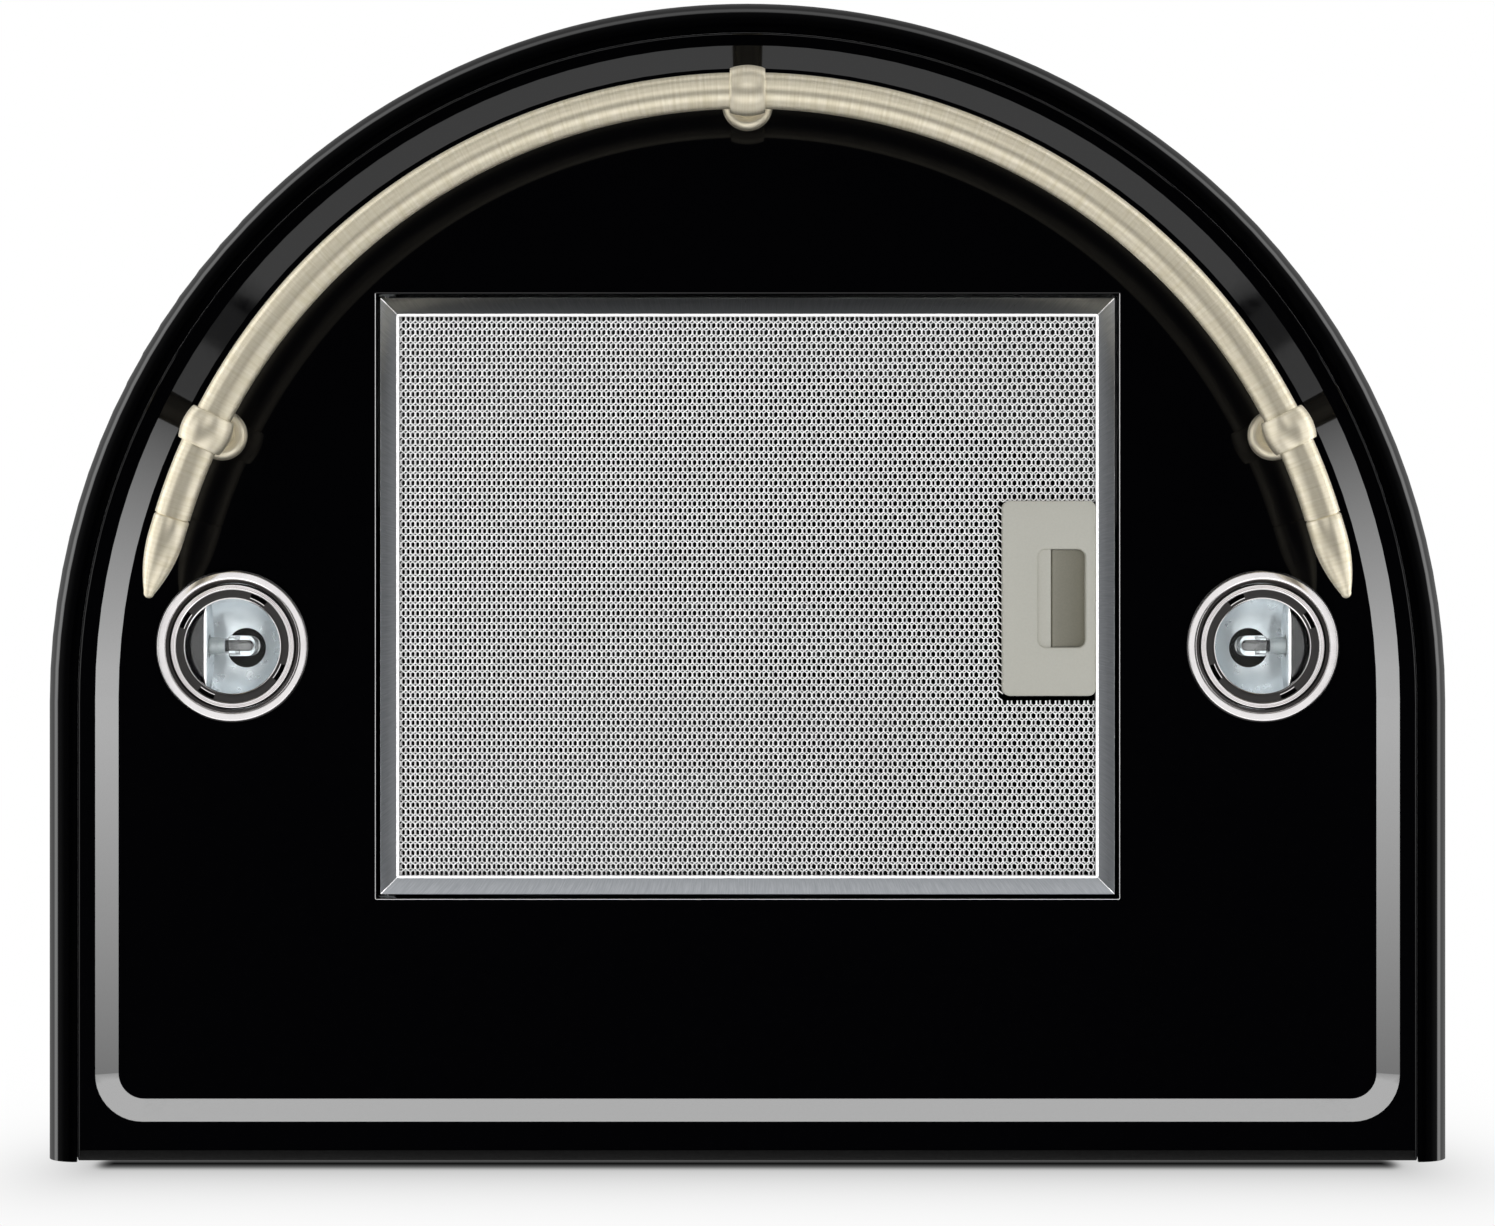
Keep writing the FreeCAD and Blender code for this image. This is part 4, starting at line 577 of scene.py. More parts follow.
@dataclass
class GreaseFilter:
    """Hinged frame with two expanded sheets."""

    centre_y: float = -241.3
    width: float = 314.4
    depth: float = 255.4
    face: float = 4.6
    height: float = 9.4
    member: float = 8.0
    ridge: float = 0.8
    face_rise: float = 1.2
    rabbet: float = 2.0
    edge_radius: float = 0.35
    mitre_gap: float = 0.12
    mitre: float = 0.35
    mitre_proud: float = 0.06
    bright: float = 1.0
    opening_gap: float = 1.8
    bead: float = 1.0
    bead_reach: float = 0.4
    bead_sink: float = 0.7
    mesh_level: float = 5.0
    mesh_spacing: float = 2.0
    half_sheet: float = 0.4
    cell_pitch: float = 4.1
    cell_row: float = 2.94
    columns: int = 74
    cell_rows: int = 82
    bond_width: float = 1.25
    strand_width: float = 0.75
    strand_sheet: float = 0.35
    tilt: float = 28.0
    notch_x: float = 108.0
    notch_y: Point = (-283.25, -197.35)

    def loop(self, half_x: float, half_y: float, z: float, radius: float, *divisions: int) -> Row:
        """Rounded rectangle round the filter's middle."""
        return rounded_rectangle((-half_x, half_x), (self.centre_y - half_y, self.centre_y + half_y), z, radius,
                                 *divisions)

    def surround(self) -> None:
        """Four members, mitred at the corners."""
        surface = Surface("filter_surround")
        step_in = self.member - self.rabbet
        section = rounded([(0.0, self.face_rise), (self.member - self.ridge, 0.0), (self.member, 0.0),
                           (self.member, self.mesh_level), (step_in, self.mesh_level), (step_in, self.height),
                           (0.0, self.height)], self.edge_radius, 3, closed=True)
        halves = (self.width / 2, self.depth / 2)
        for quarter in range(4):
            turned = Matrix.Rotation(math.radians(90 * quarter), 2)
            long_half, short_half = halves[quarter % 2], halves[(quarter + 1) % 2]
            rows = []
            for end in [step / 8 - 1 for step in range(17)]:
                spots = [turned @ Vector((end * (long_half - inset - self.mitre_gap), inset - short_half))
                         for inset, rise in section]
                rows.append([at(spot.x, self.centre_y + spot.y, self.face + rise)
                             for spot, (inset, rise) in zip(spots, section)])
            surface.rows(rows, caps=True)
        surface.settle("filter", "filter_frame", "aluminium", BRUSHED_ALUMINIUM)

    def inner_bead(self) -> None:
        """Cut edge beside the mesh and fine mitre lines at the corners, real edges painted white as their highlights.
        """
        surface = Surface("filter_inner_bead")
        half_x, half_y = self.width / 2 - self.member, self.depth / 2 - self.member
        top, lap = self.mesh_level - 0.6, -0.08
        section = rounded([(self.bright, -0.04), (lap, -0.04), (lap, top), (self.bright, top)], 0.2, 3, closed=True)
        surface.rows([self.loop(half_x + grow, half_y + grow, self.face + rise, max(0.15 + grow, 0.05), 2, 24)
                      for grow, rise in section], ends=True)
        for side_x, side_y in ((-1, -1), (-1, 1), (1, -1), (1, 1)):
            across = Vector((side_y, -side_x, 0)).normalized() * self.mitre / 2
            outer = Vector((side_x * (self.width / 2 - 0.3), side_y * (self.depth / 2 - 0.3), self.face_rise))
            inner = Vector((side_x * half_x, side_y * half_y, 0.0))
            low, high = DOWN * self.mitre_proud, UP * 0.4
            rows = [[at(point.x, self.centre_y + point.y, self.face + point.z) for point in (
                end - across + low, end + across + low, end + across + high, end - across + high)]
                for end in (outer, inner)]
            surface.rows(rows, caps=True)
        surface.settle("filter", "", "aluminium", BRIGHT_EDGE)

    def opening_bead(self) -> None:
        """Enamelled bead round the opening, where the panel's edge turns up."""
        surface = Surface("opening_bead")
        half_x, half_y = self.width / 2 + self.opening_gap, self.depth / 2 + self.opening_gap
        section = arc((-self.bead_sink, self.bead - self.bead_reach), self.bead, -self.bead, -10, 100, 8)
        surface.rows([self.loop(half_x + grow, half_y + grow, PANEL - drop, max(0.3 + grow, 0.1))
                      for drop, grow in section], ends=True)
        surface.settle("root", "", "enamel", ENAMEL)

    def weave_tree(self) -> bpy.types.GeometryNodeTree:
        """Builds an expanded sheet in nodes: staggered cells of one bond and two strands.

        Returns:
            The node tree.
        """
        tree = bpy.data.node_groups.new("expanded_sheet", "GeometryNodeTree")
        for name, kind, value in (
            ("Pitch", "Float", self.cell_pitch * MM), ("Row", "Float", self.cell_row * MM),
            ("Columns", "Int", self.columns), ("Rows", "Int", self.cell_rows),
            ("Bond Width", "Float", self.bond_width * MM), ("Strand Width", "Float", self.strand_width * MM),
            ("Sheet", "Float", self.strand_sheet * MM), ("Tilt", "Float", math.radians(self.tilt)),
            ("Origin", "Vector", (0.0, 0.0, 0.0)), ("Notch Low", "Vector", (0.0, 0.0, 0.0)),
            ("Notch High", "Vector", (0.0, 0.0, 0.0)), ("Material", "Material", None),
        ):
            socket = tree.interface.new_socket(name, in_out="INPUT", socket_type=f"NodeSocket{kind}")
            socket.default_value = value
        tree.interface.new_socket("Geometry", in_out="OUTPUT", socket_type="NodeSocketGeometry")
        values = dict(add(tree, "NodeGroupInput").node.outputs.items())
        values["Index"] = add(tree, "GeometryNodeInputIndex")
        values["Place"] = add(tree, "GeometryNodeInputPosition")
        for name in ("Place", "Notch Low", "Notch High"):
            parts = add(tree, "ShaderNodeSeparateXYZ", {0: values[name]}).node.outputs
            values |= {f"{name} {axis}": parts[axis] for axis in "XY"}
        for name, operation, one, other in (
            ("Half Pitch", "MULTIPLY", "Pitch", 0.5),
            ("Minus Half Pitch", "MULTIPLY", "Pitch", -0.5),
            ("Half Bond", "MULTIPLY", "Row", 0.25),
            ("Minus Half Bond", "MULTIPLY", "Row", -0.25),
            ("Joint", "MULTIPLY", "Row", 0.75),
            ("Last Column", "SUBTRACT", "Columns", 1.0),
            ("Last Row", "SUBTRACT", "Rows", 1.0),
            ("Size X", "MULTIPLY", "Pitch", "Last Column"),
            ("Size Y", "MULTIPLY", "Row", "Last Row"),
            ("Row Number", "MODULO", "Index", "Rows"),
            ("Odd", "MODULO", "Row Number", 2.0),
            ("Stagger", "MULTIPLY", "Odd", "Half Pitch"),
            ("Right Of", "GREATER_THAN", "Place X", "Notch Low X"),
            ("Above", "GREATER_THAN", "Place Y", "Notch Low Y"),
            ("Below", "LESS_THAN", "Place Y", "Notch High Y"),
            ("Between", "MULTIPLY", "Above", "Below"),
            ("Inside", "MULTIPLY", "Right Of", "Between"),
        ):
            values[name] = add(tree, "ShaderNodeMath", {0: values[one], 1: values.get(other, other)},
                               operation=operation)
        joined = add(tree, "GeometryNodeJoinGeometry")
        for start, end, width in (((0.0, "Minus Half Bond"), (0.0, "Half Bond"), "Bond Width"),
                                  ((0.0, "Half Bond"), ("Half Pitch", "Joint"), "Strand Width"),
                                  ((0.0, "Half Bond"), ("Minus Half Pitch", "Joint"), "Strand Width")):
            ends = [add(tree, "ShaderNodeCombineXYZ", {number: values.get(name, name)
                                                       for number, name in enumerate(point)})
                    for point in (start, end)]
            line = add(tree, "GeometryNodeCurvePrimitiveLine", {"Start": ends[0], "End": ends[1]})
            upright = add(tree, "GeometryNodeSetCurveNormal", {"Curve": line}, mode="Z_UP")
            turned = add(tree, "GeometryNodeSetCurveTilt", {"Curve": upright, "Tilt": values["Tilt"]})
            section = add(tree, "GeometryNodeCurvePrimitiveQuadrilateral", {
                "Width": values["Sheet"], "Height": values[width]})
            bar = add(tree, "GeometryNodeCurveToMesh", {"Curve": turned, "Profile Curve": section})
            tree.links.new(bar, joined.node.inputs[0])
        grid = add(tree, "GeometryNodeMeshGrid", {"Size X": values["Size X"], "Size Y": values["Size Y"],
                                                  "Vertices X": values["Columns"], "Vertices Y": values["Rows"]})
        sideways = add(tree, "ShaderNodeCombineXYZ", {0: values["Stagger"]})
        moved = add(tree, "GeometryNodeSetPosition", {"Geometry": grid, "Offset": sideways})
        placed = add(tree, "GeometryNodeTransform", {"Geometry": moved, "Translation": values["Origin"]})
        kept = add(tree, "GeometryNodeDeleteGeometry", {"Geometry": placed, "Selection": values["Inside"]},
                   domain="POINT")
        cells = add(tree, "GeometryNodeInstanceOnPoints", {"Points": kept, "Instance": joined})
        real = add(tree, "GeometryNodeRealizeInstances", {"Geometry": cells})
        dressed = add(tree, "GeometryNodeSetMaterial", {"Geometry": real, "Material": values["Material"]})
        add(tree, "NodeGroupOutput", {"Geometry": dressed})
        return tree

    def weave(self, tree: bpy.types.GeometryNodeTree, word: str, level: float, shift: float) -> None:
        """One expanded sheet, cut out round the latch.

        Args:
            tree: Node tree that makes it.
            word: Front or back.
            level: Height above the frame's face.
            shift: Sideways shift of the cells.
        """
        name = f"filter_weave_{word}"
        piece = place(name, bpy.data.meshes.new(name))
        modifier = piece.modifiers.new("sheet", "NODES")
        modifier.node_group = tree
        values = {
            "Origin": at(shift - self.cell_pitch / 4, self.centre_y, self.face + level),
            "Notch Low": at(self.notch_x, self.notch_y[0], 0),
            "Notch High": at(self.width, self.notch_y[1], 0),
            "Material": ALUMINIUM.material(),
        }
        for socket in tree.interface.items_tree:
            if socket.in_out == "INPUT" and socket.name in values:
                modifier[socket.identifier] = values[socket.name]
        sheet = evaluated_mesh(piece)
        piece.modifiers.clear()
        piece.data = sheet
        sheet.name = name
        settle(piece, "filter", f"filter_mesh_{word}")

    def build(self) -> None:
        """Makes the frame, the beads and the two sheets."""
        self.surround()
        self.inner_bead()
        self.opening_bead()
        tree = self.weave_tree()
        level = self.mesh_level + self.half_sheet
        self.weave(tree, "front", level, 0.0)
        self.weave(tree, "back", level + self.mesh_spacing, self.cell_pitch / 2 - 0.2)


@dataclass
class FilterLatch:
    """Moulded plate with a finger pocket, and the slide in it."""

    plate_x: Point = (109.2, 149.15)
    plate_y: Point = (-282.05, -198.55)
    face: float = 5.4
    back: float = 14.0
    back_lip: float = 3.0
    corner: float = 3.2
    crown: float = 0.8
    pocket_x: Point = (124.3, 144.8)
    pocket_y: Point = (-261.3, -219.3)
    pocket_corner: float = 3.4
    pocket_lip: float = 0.7
    pocket_floor: float = 12.5
    step_floor: float = 7.1
    slide_left: float = 130.3
    slide_gap: float = 0.3
    slide_face: float = 7.3
    slide_back: float = 12.3
    hollow: float = 1.3
    hollow_right: float = 3.5
    edge_rise: float = 0.5

    def loop(self, pocket: bool, grow: float, z: float) -> Row:
        """Outline of the pocket or the plate, grown on every side."""
        x_span, y_span, corner = ((self.pocket_x, self.pocket_y, self.pocket_corner) if pocket
                                  else (self.plate_x, self.plate_y, self.corner))
        return rounded_rectangle((x_span[0] - grow, x_span[1] + grow), (y_span[0] - grow, y_span[1] + grow), z,
                                 max(corner + grow, 0.2))

    def skirt(self, surface: Surface, edge: Row, level: float) -> Row:
        """Adds upright sides under an edge.

        Args:
            surface: Mesh that gets them.
            edge: The closed edge.
            level: Height of their far end.

        Returns:
            That far end.
        """
        foot = [Vector((point.x, point.y, at(0, 0, level).z)) for point in edge]
        surface.rows([edge, foot])
        return foot

    def plate(self) -> None:
        """Plate with rounded edges round the face and the pocket."""
        surface = Surface("latch_cover")
        rows = [self.loop(False, -self.back_lip, self.back), self.loop(False, 0, self.back)]
        rows += [self.loop(False, -inset, self.face + rise)
                 for inset, rise in arc((self.crown, self.crown), -self.crown, -self.crown, 0, 90, 4)]
        lip = self.pocket_lip
        rows += [self.loop(True, grow, self.face + rise) for grow, rise in arc((lip, lip), -lip, -lip, 90, 0, 4)]
        rows.append(self.loop(True, 0, self.pocket_floor))
        surface.rows(rows)
        surface.cap(rows[-1])
        ledge = rounded_rectangle((self.pocket_x[0] - 0.1, self.slide_left - 0.4),
                                  (self.pocket_y[0] - 0.1, self.pocket_y[1] + 0.1), self.step_floor, 0.3)
        self.skirt(surface, ledge, self.pocket_floor)
        surface.cap(ledge)
        surface.settle("filter", "latch_plate", "grey_plastic", GREY_PLASTIC)

    def slide(self) -> None:
        """Slide with a hollowed face that deepens to the right, and a raised left edge."""
        surface = Surface("latch_finger_slide")
        middle = (self.pocket_y[0] + self.pocket_y[1]) / 2
        half = (self.pocket_y[1] - self.pocket_y[0]) / 2 - self.slide_gap
        rows = []
        for across in [step / 24 for step in range(25)]:
            x = self.slide_left + (self.pocket_x[1] - self.slide_left) * across
            level = (self.slide_face + self.hollow_right * across ** 1.4
                     + self.edge_rise * max(0.0, 1 - across * 18) ** 2)
            rows.append([at(x, middle + half * along, level + self.hollow * (1 - along ** 2))
                         for along in [step / 16 - 1 for step in range(33)]])
        surface.rows(rows, around=False)
        edge = rows[0] + [row[-1] for row in rows[1:]] + rows[-1][::-1][1:] + [row[0] for row in rows[::-1][1:-1]]
        surface.cap(self.skirt(surface, edge, self.slide_back))
        # The slide's plastic is painted darker than the plate's, as the shade in the pocket.
        surface.settle("latch", "latch_slider", "grey_plastic", SHADED_PLASTIC)

    def build(self) -> None:
        """Makes the plate and the slide."""
        self.plate()
        self.slide()


@dataclass
class CanopyLamp:
    """Round lamp: trim, twist ring, glass, bowl edge and capsule bulb."""

    side: Side
    x: float = 220.25
    y: float = -219.8
    trim_radius: float = 32.4
    trim_depth: float = 2.6
    trim_crown: float = 1.2
    sleeve: float = 28.4
    sleeve_inner: float = 27.2
    sleeve_top: float = 13.0
    ring_outer: float = 26.8
    ring_step: float = 24.1
    ring_bore: float = 20.3
    ring_lip: float = 0.45
    ring_wall: float = 1.3
    ring_steps: int = 180
    slot_turn: float = 29.0
    slot_half: float = 8.4
    slot_radius: float = 23.1
    slot_width: float = 1.9
    slot_depth: float = 0.7
    highlight_share: float = 0.014
    ring_face: float = 4.0
    ring_plate: float = 1.8
    ring_height: float = 8.0
    glass: float = 24.0
    glass_sheet: float = 2.0
    bulb: float = 4.5
    bulb_wall: float = 0.7
    bulb_axis: float = 21.0
    bulb_seat: float = 13.3
    bulb_length: float = 23.0
    bulb_foot: float = 8.0
    filament_turns: int = 9
    filament_steps: int = 120
    chord: float = 12.4
    edge_width: float = 1.2
    bowl_radius: float = 27.0
    bowl_level: float = 13.0

    @property
    def base(self) -> Vector:
        """Point of the lamp's axis at the rim's level."""
        return at(self.side.value * self.x, self.y, 0)

    def trim(self) -> None:
        """Domed ring with a sleeve up through the panel."""
        surface = Surface(f"lamp_bezel_{self.side.word}")
        low = PANEL - self.trim_depth
        mouth = (self.sleeve, low + 0.9)
        flange = [mouth] + rounded([
            mouth, (self.sleeve + 0.2, low + 0.2), (self.sleeve + 1.2, low), (self.trim_radius - 0.6, low + 0.2),
            (self.trim_radius, low + self.trim_crown), (self.trim_radius, PANEL), (self.sleeve, PANEL),
        ], 0.7, 5)[1:]
        liner = [(self.sleeve, PANEL), (self.sleeve, self.sleeve_top), (self.sleeve_inner, self.sleeve_top),
                 (self.sleeve_inner, low + 2.2), mouth]
        for slot, profile in enumerate((flange, liner)):
            surface.lathe(profile, self.base, UP, 128, slot)
        surface.settle("root", f"lamp_trim_{self.side.word}", "chrome", CHROME, BROWN_PLASTIC)

    def twist_ring(self) -> None:
        """Two bright beads outside and a dark band with four slots inside."""
        surface = Surface(f"lamp_twist_ring_{self.side.word}")
        low, band = self.ring_face, self.ring_face + 0.9
        top, floor = low + self.ring_height, low + self.ring_plate
        waist = (self.ring_step + self.ring_outer) / 2
        beads = rounded([
            (self.ring_step, band), (self.ring_step, low + 0.2), (self.ring_step + 0.5, low),
            (waist - 0.4, low), (waist, low + 0.6), (waist + 0.4, low),
            (self.ring_outer - 0.5, low + 0.1), (self.ring_outer, low + 0.8),
        ], 0.3, 3)
        lip = self.ring_bore + self.ring_lip
        mouth = [(self.ring_bore, floor), (self.ring_bore, band + 0.3), (lip, band)]
        inside = self.ring_outer - self.ring_wall
        body = [(self.ring_outer, low + 0.8), (self.ring_outer, top), (inside, top), (inside, floor),
                (self.ring_bore, floor)]
        for slot, profile in ((0, beads), (0, mouth), (1, body)):
            surface.lathe(profile, self.base, UP, self.ring_steps, slot)
        self.slotted_band(surface, lip, band)
        surface.settle(f"{self.side.word}_lamp_cover", f"lamp_retainer_{self.side.word}", "black_plastic",
                       CHROME, BROWN_PLASTIC, SLOT_BLACK)

    def slotted_band(self, surface: Surface, lip: float, level: float) -> None:
        """Flat band between the ring's lip and its beads, with a blind slot in each quarter.

        Args:
            surface: Mesh of the ring.
            lip: Inner radius of the band.
            level: Height of its face.
        """
        quarter = self.ring_steps // 4
        tilt = self.slot_turn if self.side is Side.LEFT else 90 - self.slot_turn
        first, last = [round((tilt + end * self.slot_half) * self.ring_steps / 360) for end in (-1, 1)]
        radii = [lip, self.slot_radius - self.slot_width / 2, self.slot_radius + self.slot_width / 2, self.ring_step]

        def arch(ring: int, columns: range, rise: float = 0.0, share: float = 0.0) -> Row:
            """Part of one of the band's circles, drawn in towards the axis by a share."""
            turns = [math.tau * column / self.ring_steps for column in columns]
            radius = radii[ring] * (1 - share)
            return [self.base + Vector((math.cos(turn) * radius, math.sin(turn) * radius, level + rise)) * MM
                    for turn in turns]

        for start in [turn * quarter for turn in range(4)]:
            whole = range(start, start + quarter + 1)
            between = range(start + last - quarter, start + first + 1)
            for ring, columns in enumerate((whole, between, whole)):
                surface.rows([arch(ring, columns), arch(ring + 1, columns)], around=False, slot=1)
            columns = range(start + first, start + last + 1)
            edge, floor = [arch(1, columns, rise) + arch(2, columns, rise)[::-1] for rise in (0.0, self.slot_depth)]
            surface.rows([edge, floor], slot=2)
            surface.cap(floor, 2)
            surface.rows([arch(1, columns, -0.02, self.highlight_share), arch(1, columns, -0.02)], around=False)

    def lens(self) -> None:
        """Flat disc of glass with ground edges, which lets the light through."""
        surface = Surface(f"lamp_lens_{self.side.word}")
        low = self.ring_face + self.ring_plate + 0.02
        top, ground = low + self.glass_sheet, self.glass - 0.3
        surface.lathe([(0.0, low), (ground, low), (self.glass, low + 0.3), (self.glass, top - 0.3), (ground, top),
                       (0.0, top)], self.base)
        surface.settle(f"{self.side.word}_lamp_cover", f"lamp_glass_{self.side.word}", "glass",
                       COVER_GLASS).visible_shadow = False

    def bowl_edge(self) -> None:
        """Bright folded edge where the bowl stops short of the bare shield."""
        surface = Surface(f"lamp_bowl_edge_{self.side.word}")
        low, high = self.bowl_level - 0.6, self.bowl_level
        start, end = self.chord, self.chord + self.edge_width
        reach = math.sqrt(self.bowl_radius ** 2 - end ** 2)
        section = rounded([(start, low), (end, low), (end, high), (start, high)], 0.25, 3, closed=True)
        surface.rows([[self.base + Vector((self.side.value * x, reach * (step / 6 - 1), z)) * MM
                       for x, z in section] for step in range(13)], caps=True)
        surface.settle("root", "", "mirror", CHROME)

    def capsule(self) -> None:
        """Clear bulb with a filament between two posts, and its pinched grey foot."""
        surface = Surface(f"lamp_capsule_{self.side.word}")
        inward = EAST * -self.side.value
        seat = self.base + Vector((self.side.value * self.bulb_seat, 0, self.bulb_axis)) * MM
        bulb, foot, length = self.bulb, self.bulb_foot, self.bulb_length
        pinch = [(0.0, 0.0), (bulb * 0.8, 0.0), (bulb * 0.85, foot * 0.5), (bulb * 0.7, foot)]
        outer = [(bulb * 0.7, foot), (bulb, foot + 2.0)] + arc((0.0, length - bulb), bulb, bulb, 0, 90, 8)
        hollow = [(0.0, foot + 1.5)] + [(radius - self.bulb_wall, height) for radius, height in outer[1:-1]]
        hollow.append((0.0, length - self.bulb_wall))
        for slot, profile in ((2, pinch), (0, [(0.0, foot)] + outer), (0, hollow)):
            surface.lathe(profile, seat, inward, 48, slot)
        for post in (-2, 2):
            start = seat + NORTH * post * MM + inward * (foot - 1.0) * MM
            surface.lathe([(0.0, 0.0), (0.3, 0.0), (0.3, 7.5), (0.0, 7.5)], start, inward, 10, 1)
        rows = []
        for share in [step / self.filament_steps for step in range(self.filament_steps + 1)]:
            turn = math.tau * self.filament_turns * share
            coil = seat + inward * 13.5 * MM + NORTH * (share * 4 - 2) * MM
            coil += (inward * math.cos(turn) + UP * math.sin(turn)) * 0.8 * MM
            rows.append(circle(coil, inward, UP, 0.16, 4))
        surface.rows(rows, caps=True, slot=1)
        surface.settle("root", f"lamp_bulb_{self.side.word}", "glass", GLASS, STEEL,
                       PINCHED_GLASS).visible_shadow = False

    def build(self) -> None:
        """Makes the lamp's pieces."""
        for make in (self.trim, self.twist_ring, self.lens, self.capsule, self.bowl_edge):
            make()


@dataclass
class RimBead:
    """Fine enamel bead where the rolled rim meets the sloping band."""

    inset: float = 15.0
    level: float = -0.05
    radius: float = 0.42
    rear: float = 2.0

    def build(self) -> None:
        """Makes the bead along both sides and round the front."""
        surface = Surface("rim_bead")
        reach = HALF_WIDTH - self.inset
        front = arc((0.0, ARCH_Y), -reach, -reach, 0, 180, 96)
        rows = []
        for x, y in [(-reach, -self.rear)] + front + [(reach, -self.rear)]:
            outward = Vector((x, min(y - ARCH_Y, 0.0), 0)).normalized()
            rows.append(circle(at(x, y, self.level), outward, UP, self.radius, 10))
        surface.rows(rows, caps=True)
        surface.settle("root", "", "enamel", ENAMEL)


@dataclass
class ControlPanel:
    """Five push buttons in the front band, each with a plain mark."""

    level: float = 42.0
    face: float = HALF_WIDTH + 2.0
    proud: float = 1.4
    width: float = 16.0
    rise: float = 12.0
    corner: float = 1.6
    edge: float = 0.8
    depth: float = 11.5
    dish: float = 0.25
    pitch: float = 5.2
    digit_size: float = 7.6
    ink: float = 0.04
    lamp_ring: float = 1.7
    ray_start: float = 2.4
    ray_end: float = 3.4
    ray_width: float = 0.45
    names: tuple[str, ...] = ("light", "off", "low", "medium", "high")

    def spot(self, number: int, across: float, up: float, out: float) -> Vector:
        """Place on or behind a button's face.

        Args:
            number: Which button, from the left.
            across: To the right of its middle.
            up: Above its middle.
            out: Out of the bezel's face.

        Returns:
            The place in the frame.
        """
        turn = math.radians((number - (len(self.names) - 1) / 2) * self.pitch)
        radius = self.face + out
        return at(radius * math.sin(turn) + across * math.cos(turn),
                  ARCH_Y - radius * math.cos(turn) + across * math.sin(turn), self.level + up)

    def outline(self, number: int, inset: float, out: float) -> Row:
        """Rounded outline of a button's section at one depth."""
        half_width, half_rise = self.width / 2 - inset, self.rise / 2 - inset
        flat = rounded_rectangle((-half_width, half_width), (-half_rise, half_rise), 0, max(self.corner - inset, 0.3))
        return [self.spot(number, point.x / MM, point.y / MM, out) for point in flat]

    def lamp_mark(self, surface: Surface) -> None:
        """Ring with eight rays on the first button, for the lamps.

        Args:
            surface: Mesh of the button.
        """
        circles = [arc((0.0, 0.0), radius, radius, 0, 360, 32)
                   for radius in (self.lamp_ring - self.ray_width, self.lamp_ring)]
        bars = [(inner[0], outer[0], outer[1], inner[1])
                for inner, outer in zip(zip(circles[0], circles[0][1:]), zip(circles[1], circles[1][1:]))]
        for turn in [math.tau * ray / 8 for ray in range(8)]:
            along = Vector((math.cos(turn), math.sin(turn)))
            across = Vector((-along.y, along.x)) * self.ray_width / 2
            bars.append([tuple(along * length + across * side) for length, side in (
                (self.ray_start, -1), (self.ray_end, -1), (self.ray_end, 1), (self.ray_start, 1))])
        face = self.proud - self.dish
        for corners in bars:
            surface.rows([[self.spot(0, across, up, out) for across, up in corners]
                          for out in (face - self.ink, face + self.ink)], caps=True, slot=1)

    def digit_mark(self, surface: Surface, number: int) -> None:
        """Plain number on a button's face.

        Args:
            surface: Mesh of the button.
            number: Which button, from the left; its number is one less.
        """
        letter = bpy.data.curves.new("digit", "FONT")
        letter.body = str(number - 1)
        letter.size, letter.extrude, letter.resolution_u = self.digit_size, self.ink, 6
        letter.align_x, letter.align_y = "CENTER", "CENTER"
        carrier = place("digit", letter)
        flat = evaluated_mesh(carrier)
        placed = [surface.mesh.verts.new(self.spot(number, vertex.co.x, vertex.co.y,
                                                   self.proud - self.dish + vertex.co.z))
                  for vertex in flat.vertices]
        for polygon in flat.polygons:
            surface.mesh.faces.new([placed[index] for index in polygon.vertices]).material_index = 1
        bpy.data.objects.remove(carrier)
        bpy.data.curves.remove(letter)
        bpy.data.meshes.remove(flat)

    def button(self, number: int, name: str) -> None:
        """Button with rounded edges, a shallow dish and its mark.

        Args:
            number: Which button, from the left.
            name: Its name.
        """
        surface = Surface(f"button_cap_{name}")
        crown = arc((self.edge, self.proud - self.edge), -self.edge, self.edge, 0, 90, 4)
        dished = [(self.edge + 0.8, self.proud - self.dish * 0.7), (self.edge + 1.8, self.proud - self.dish)]
        surface.rows([self.outline(number, inset, out) for inset, out in [(0, -self.depth)] + crown + dished],
                     caps=True)
        if number:
            self.digit_mark(surface, number)
        else:
            self.lamp_mark(surface)
        surface.settle(f"button_{name}_body", f"button_{name}", "black_plastic", BLACK_PLASTIC, MARK_INK)

    def build(self) -> None:
        """Makes the five buttons."""
        for number, name in enumerate(self.names):
            self.button(number, name)


@dataclass(frozen=True)
class SoftLight:
    """Soft light that points at the underside; its place and sizes are in metres from the underside's middle."""

    name: str
    place: tuple[float, float, float]
    width: float
    length: float
    radiance: float

    def build(self, group: bpy.types.Collection) -> None:
        """Adds the light.

        Args:
            group: What it lights, or spares.
        """
        data = bpy.data.lights.new(self.name, "AREA")
        data.shape, data.size, data.size_y = "RECTANGLE", self.length, self.width
        data.energy = self.radiance * math.pi * self.width * self.length
        made = place(self.name, data)
        made.location = UNDERSIDE + Vector(self.place)
        back = Vector(self.place).normalized()
        side = NORTH if abs(self.place[0]) > abs(self.place[1]) else EAST
        up = back.cross(side).normalized()
        made.rotation_euler = Matrix((up.cross(back).normalized(), up, back)).transposed().to_euler()
        made.visible_camera = False
        made.light_linking.receiver_collection = group


class Reach(Enum):
    """Whether lights keep to a group of pieces or leave it out."""

    ONLY = "INCLUDE"
    SPARED = "EXCLUDE"


@dataclass(frozen=True)
class LightGroup:
    """Pieces that some lights keep to, or leave out, with those lights."""

    name: str
    reach: Reach
    pieces: tuple[str, ...]
    lights: tuple[SoftLight, ...] = ()

    def build(self) -> bpy.types.Collection:
        """Makes the group and its lights.

        Returns:
            The group.
        """
        group = bpy.data.collections.new(self.name)
        for piece in self.pieces:
            group.objects.link(frame["nodes"].get(piece) or bpy.data.objects[piece])
        for entry in group.collection_objects:
            entry.light_linking.link_state = self.reach.value
        for light in self.lights:
            light.build(group)
        return group


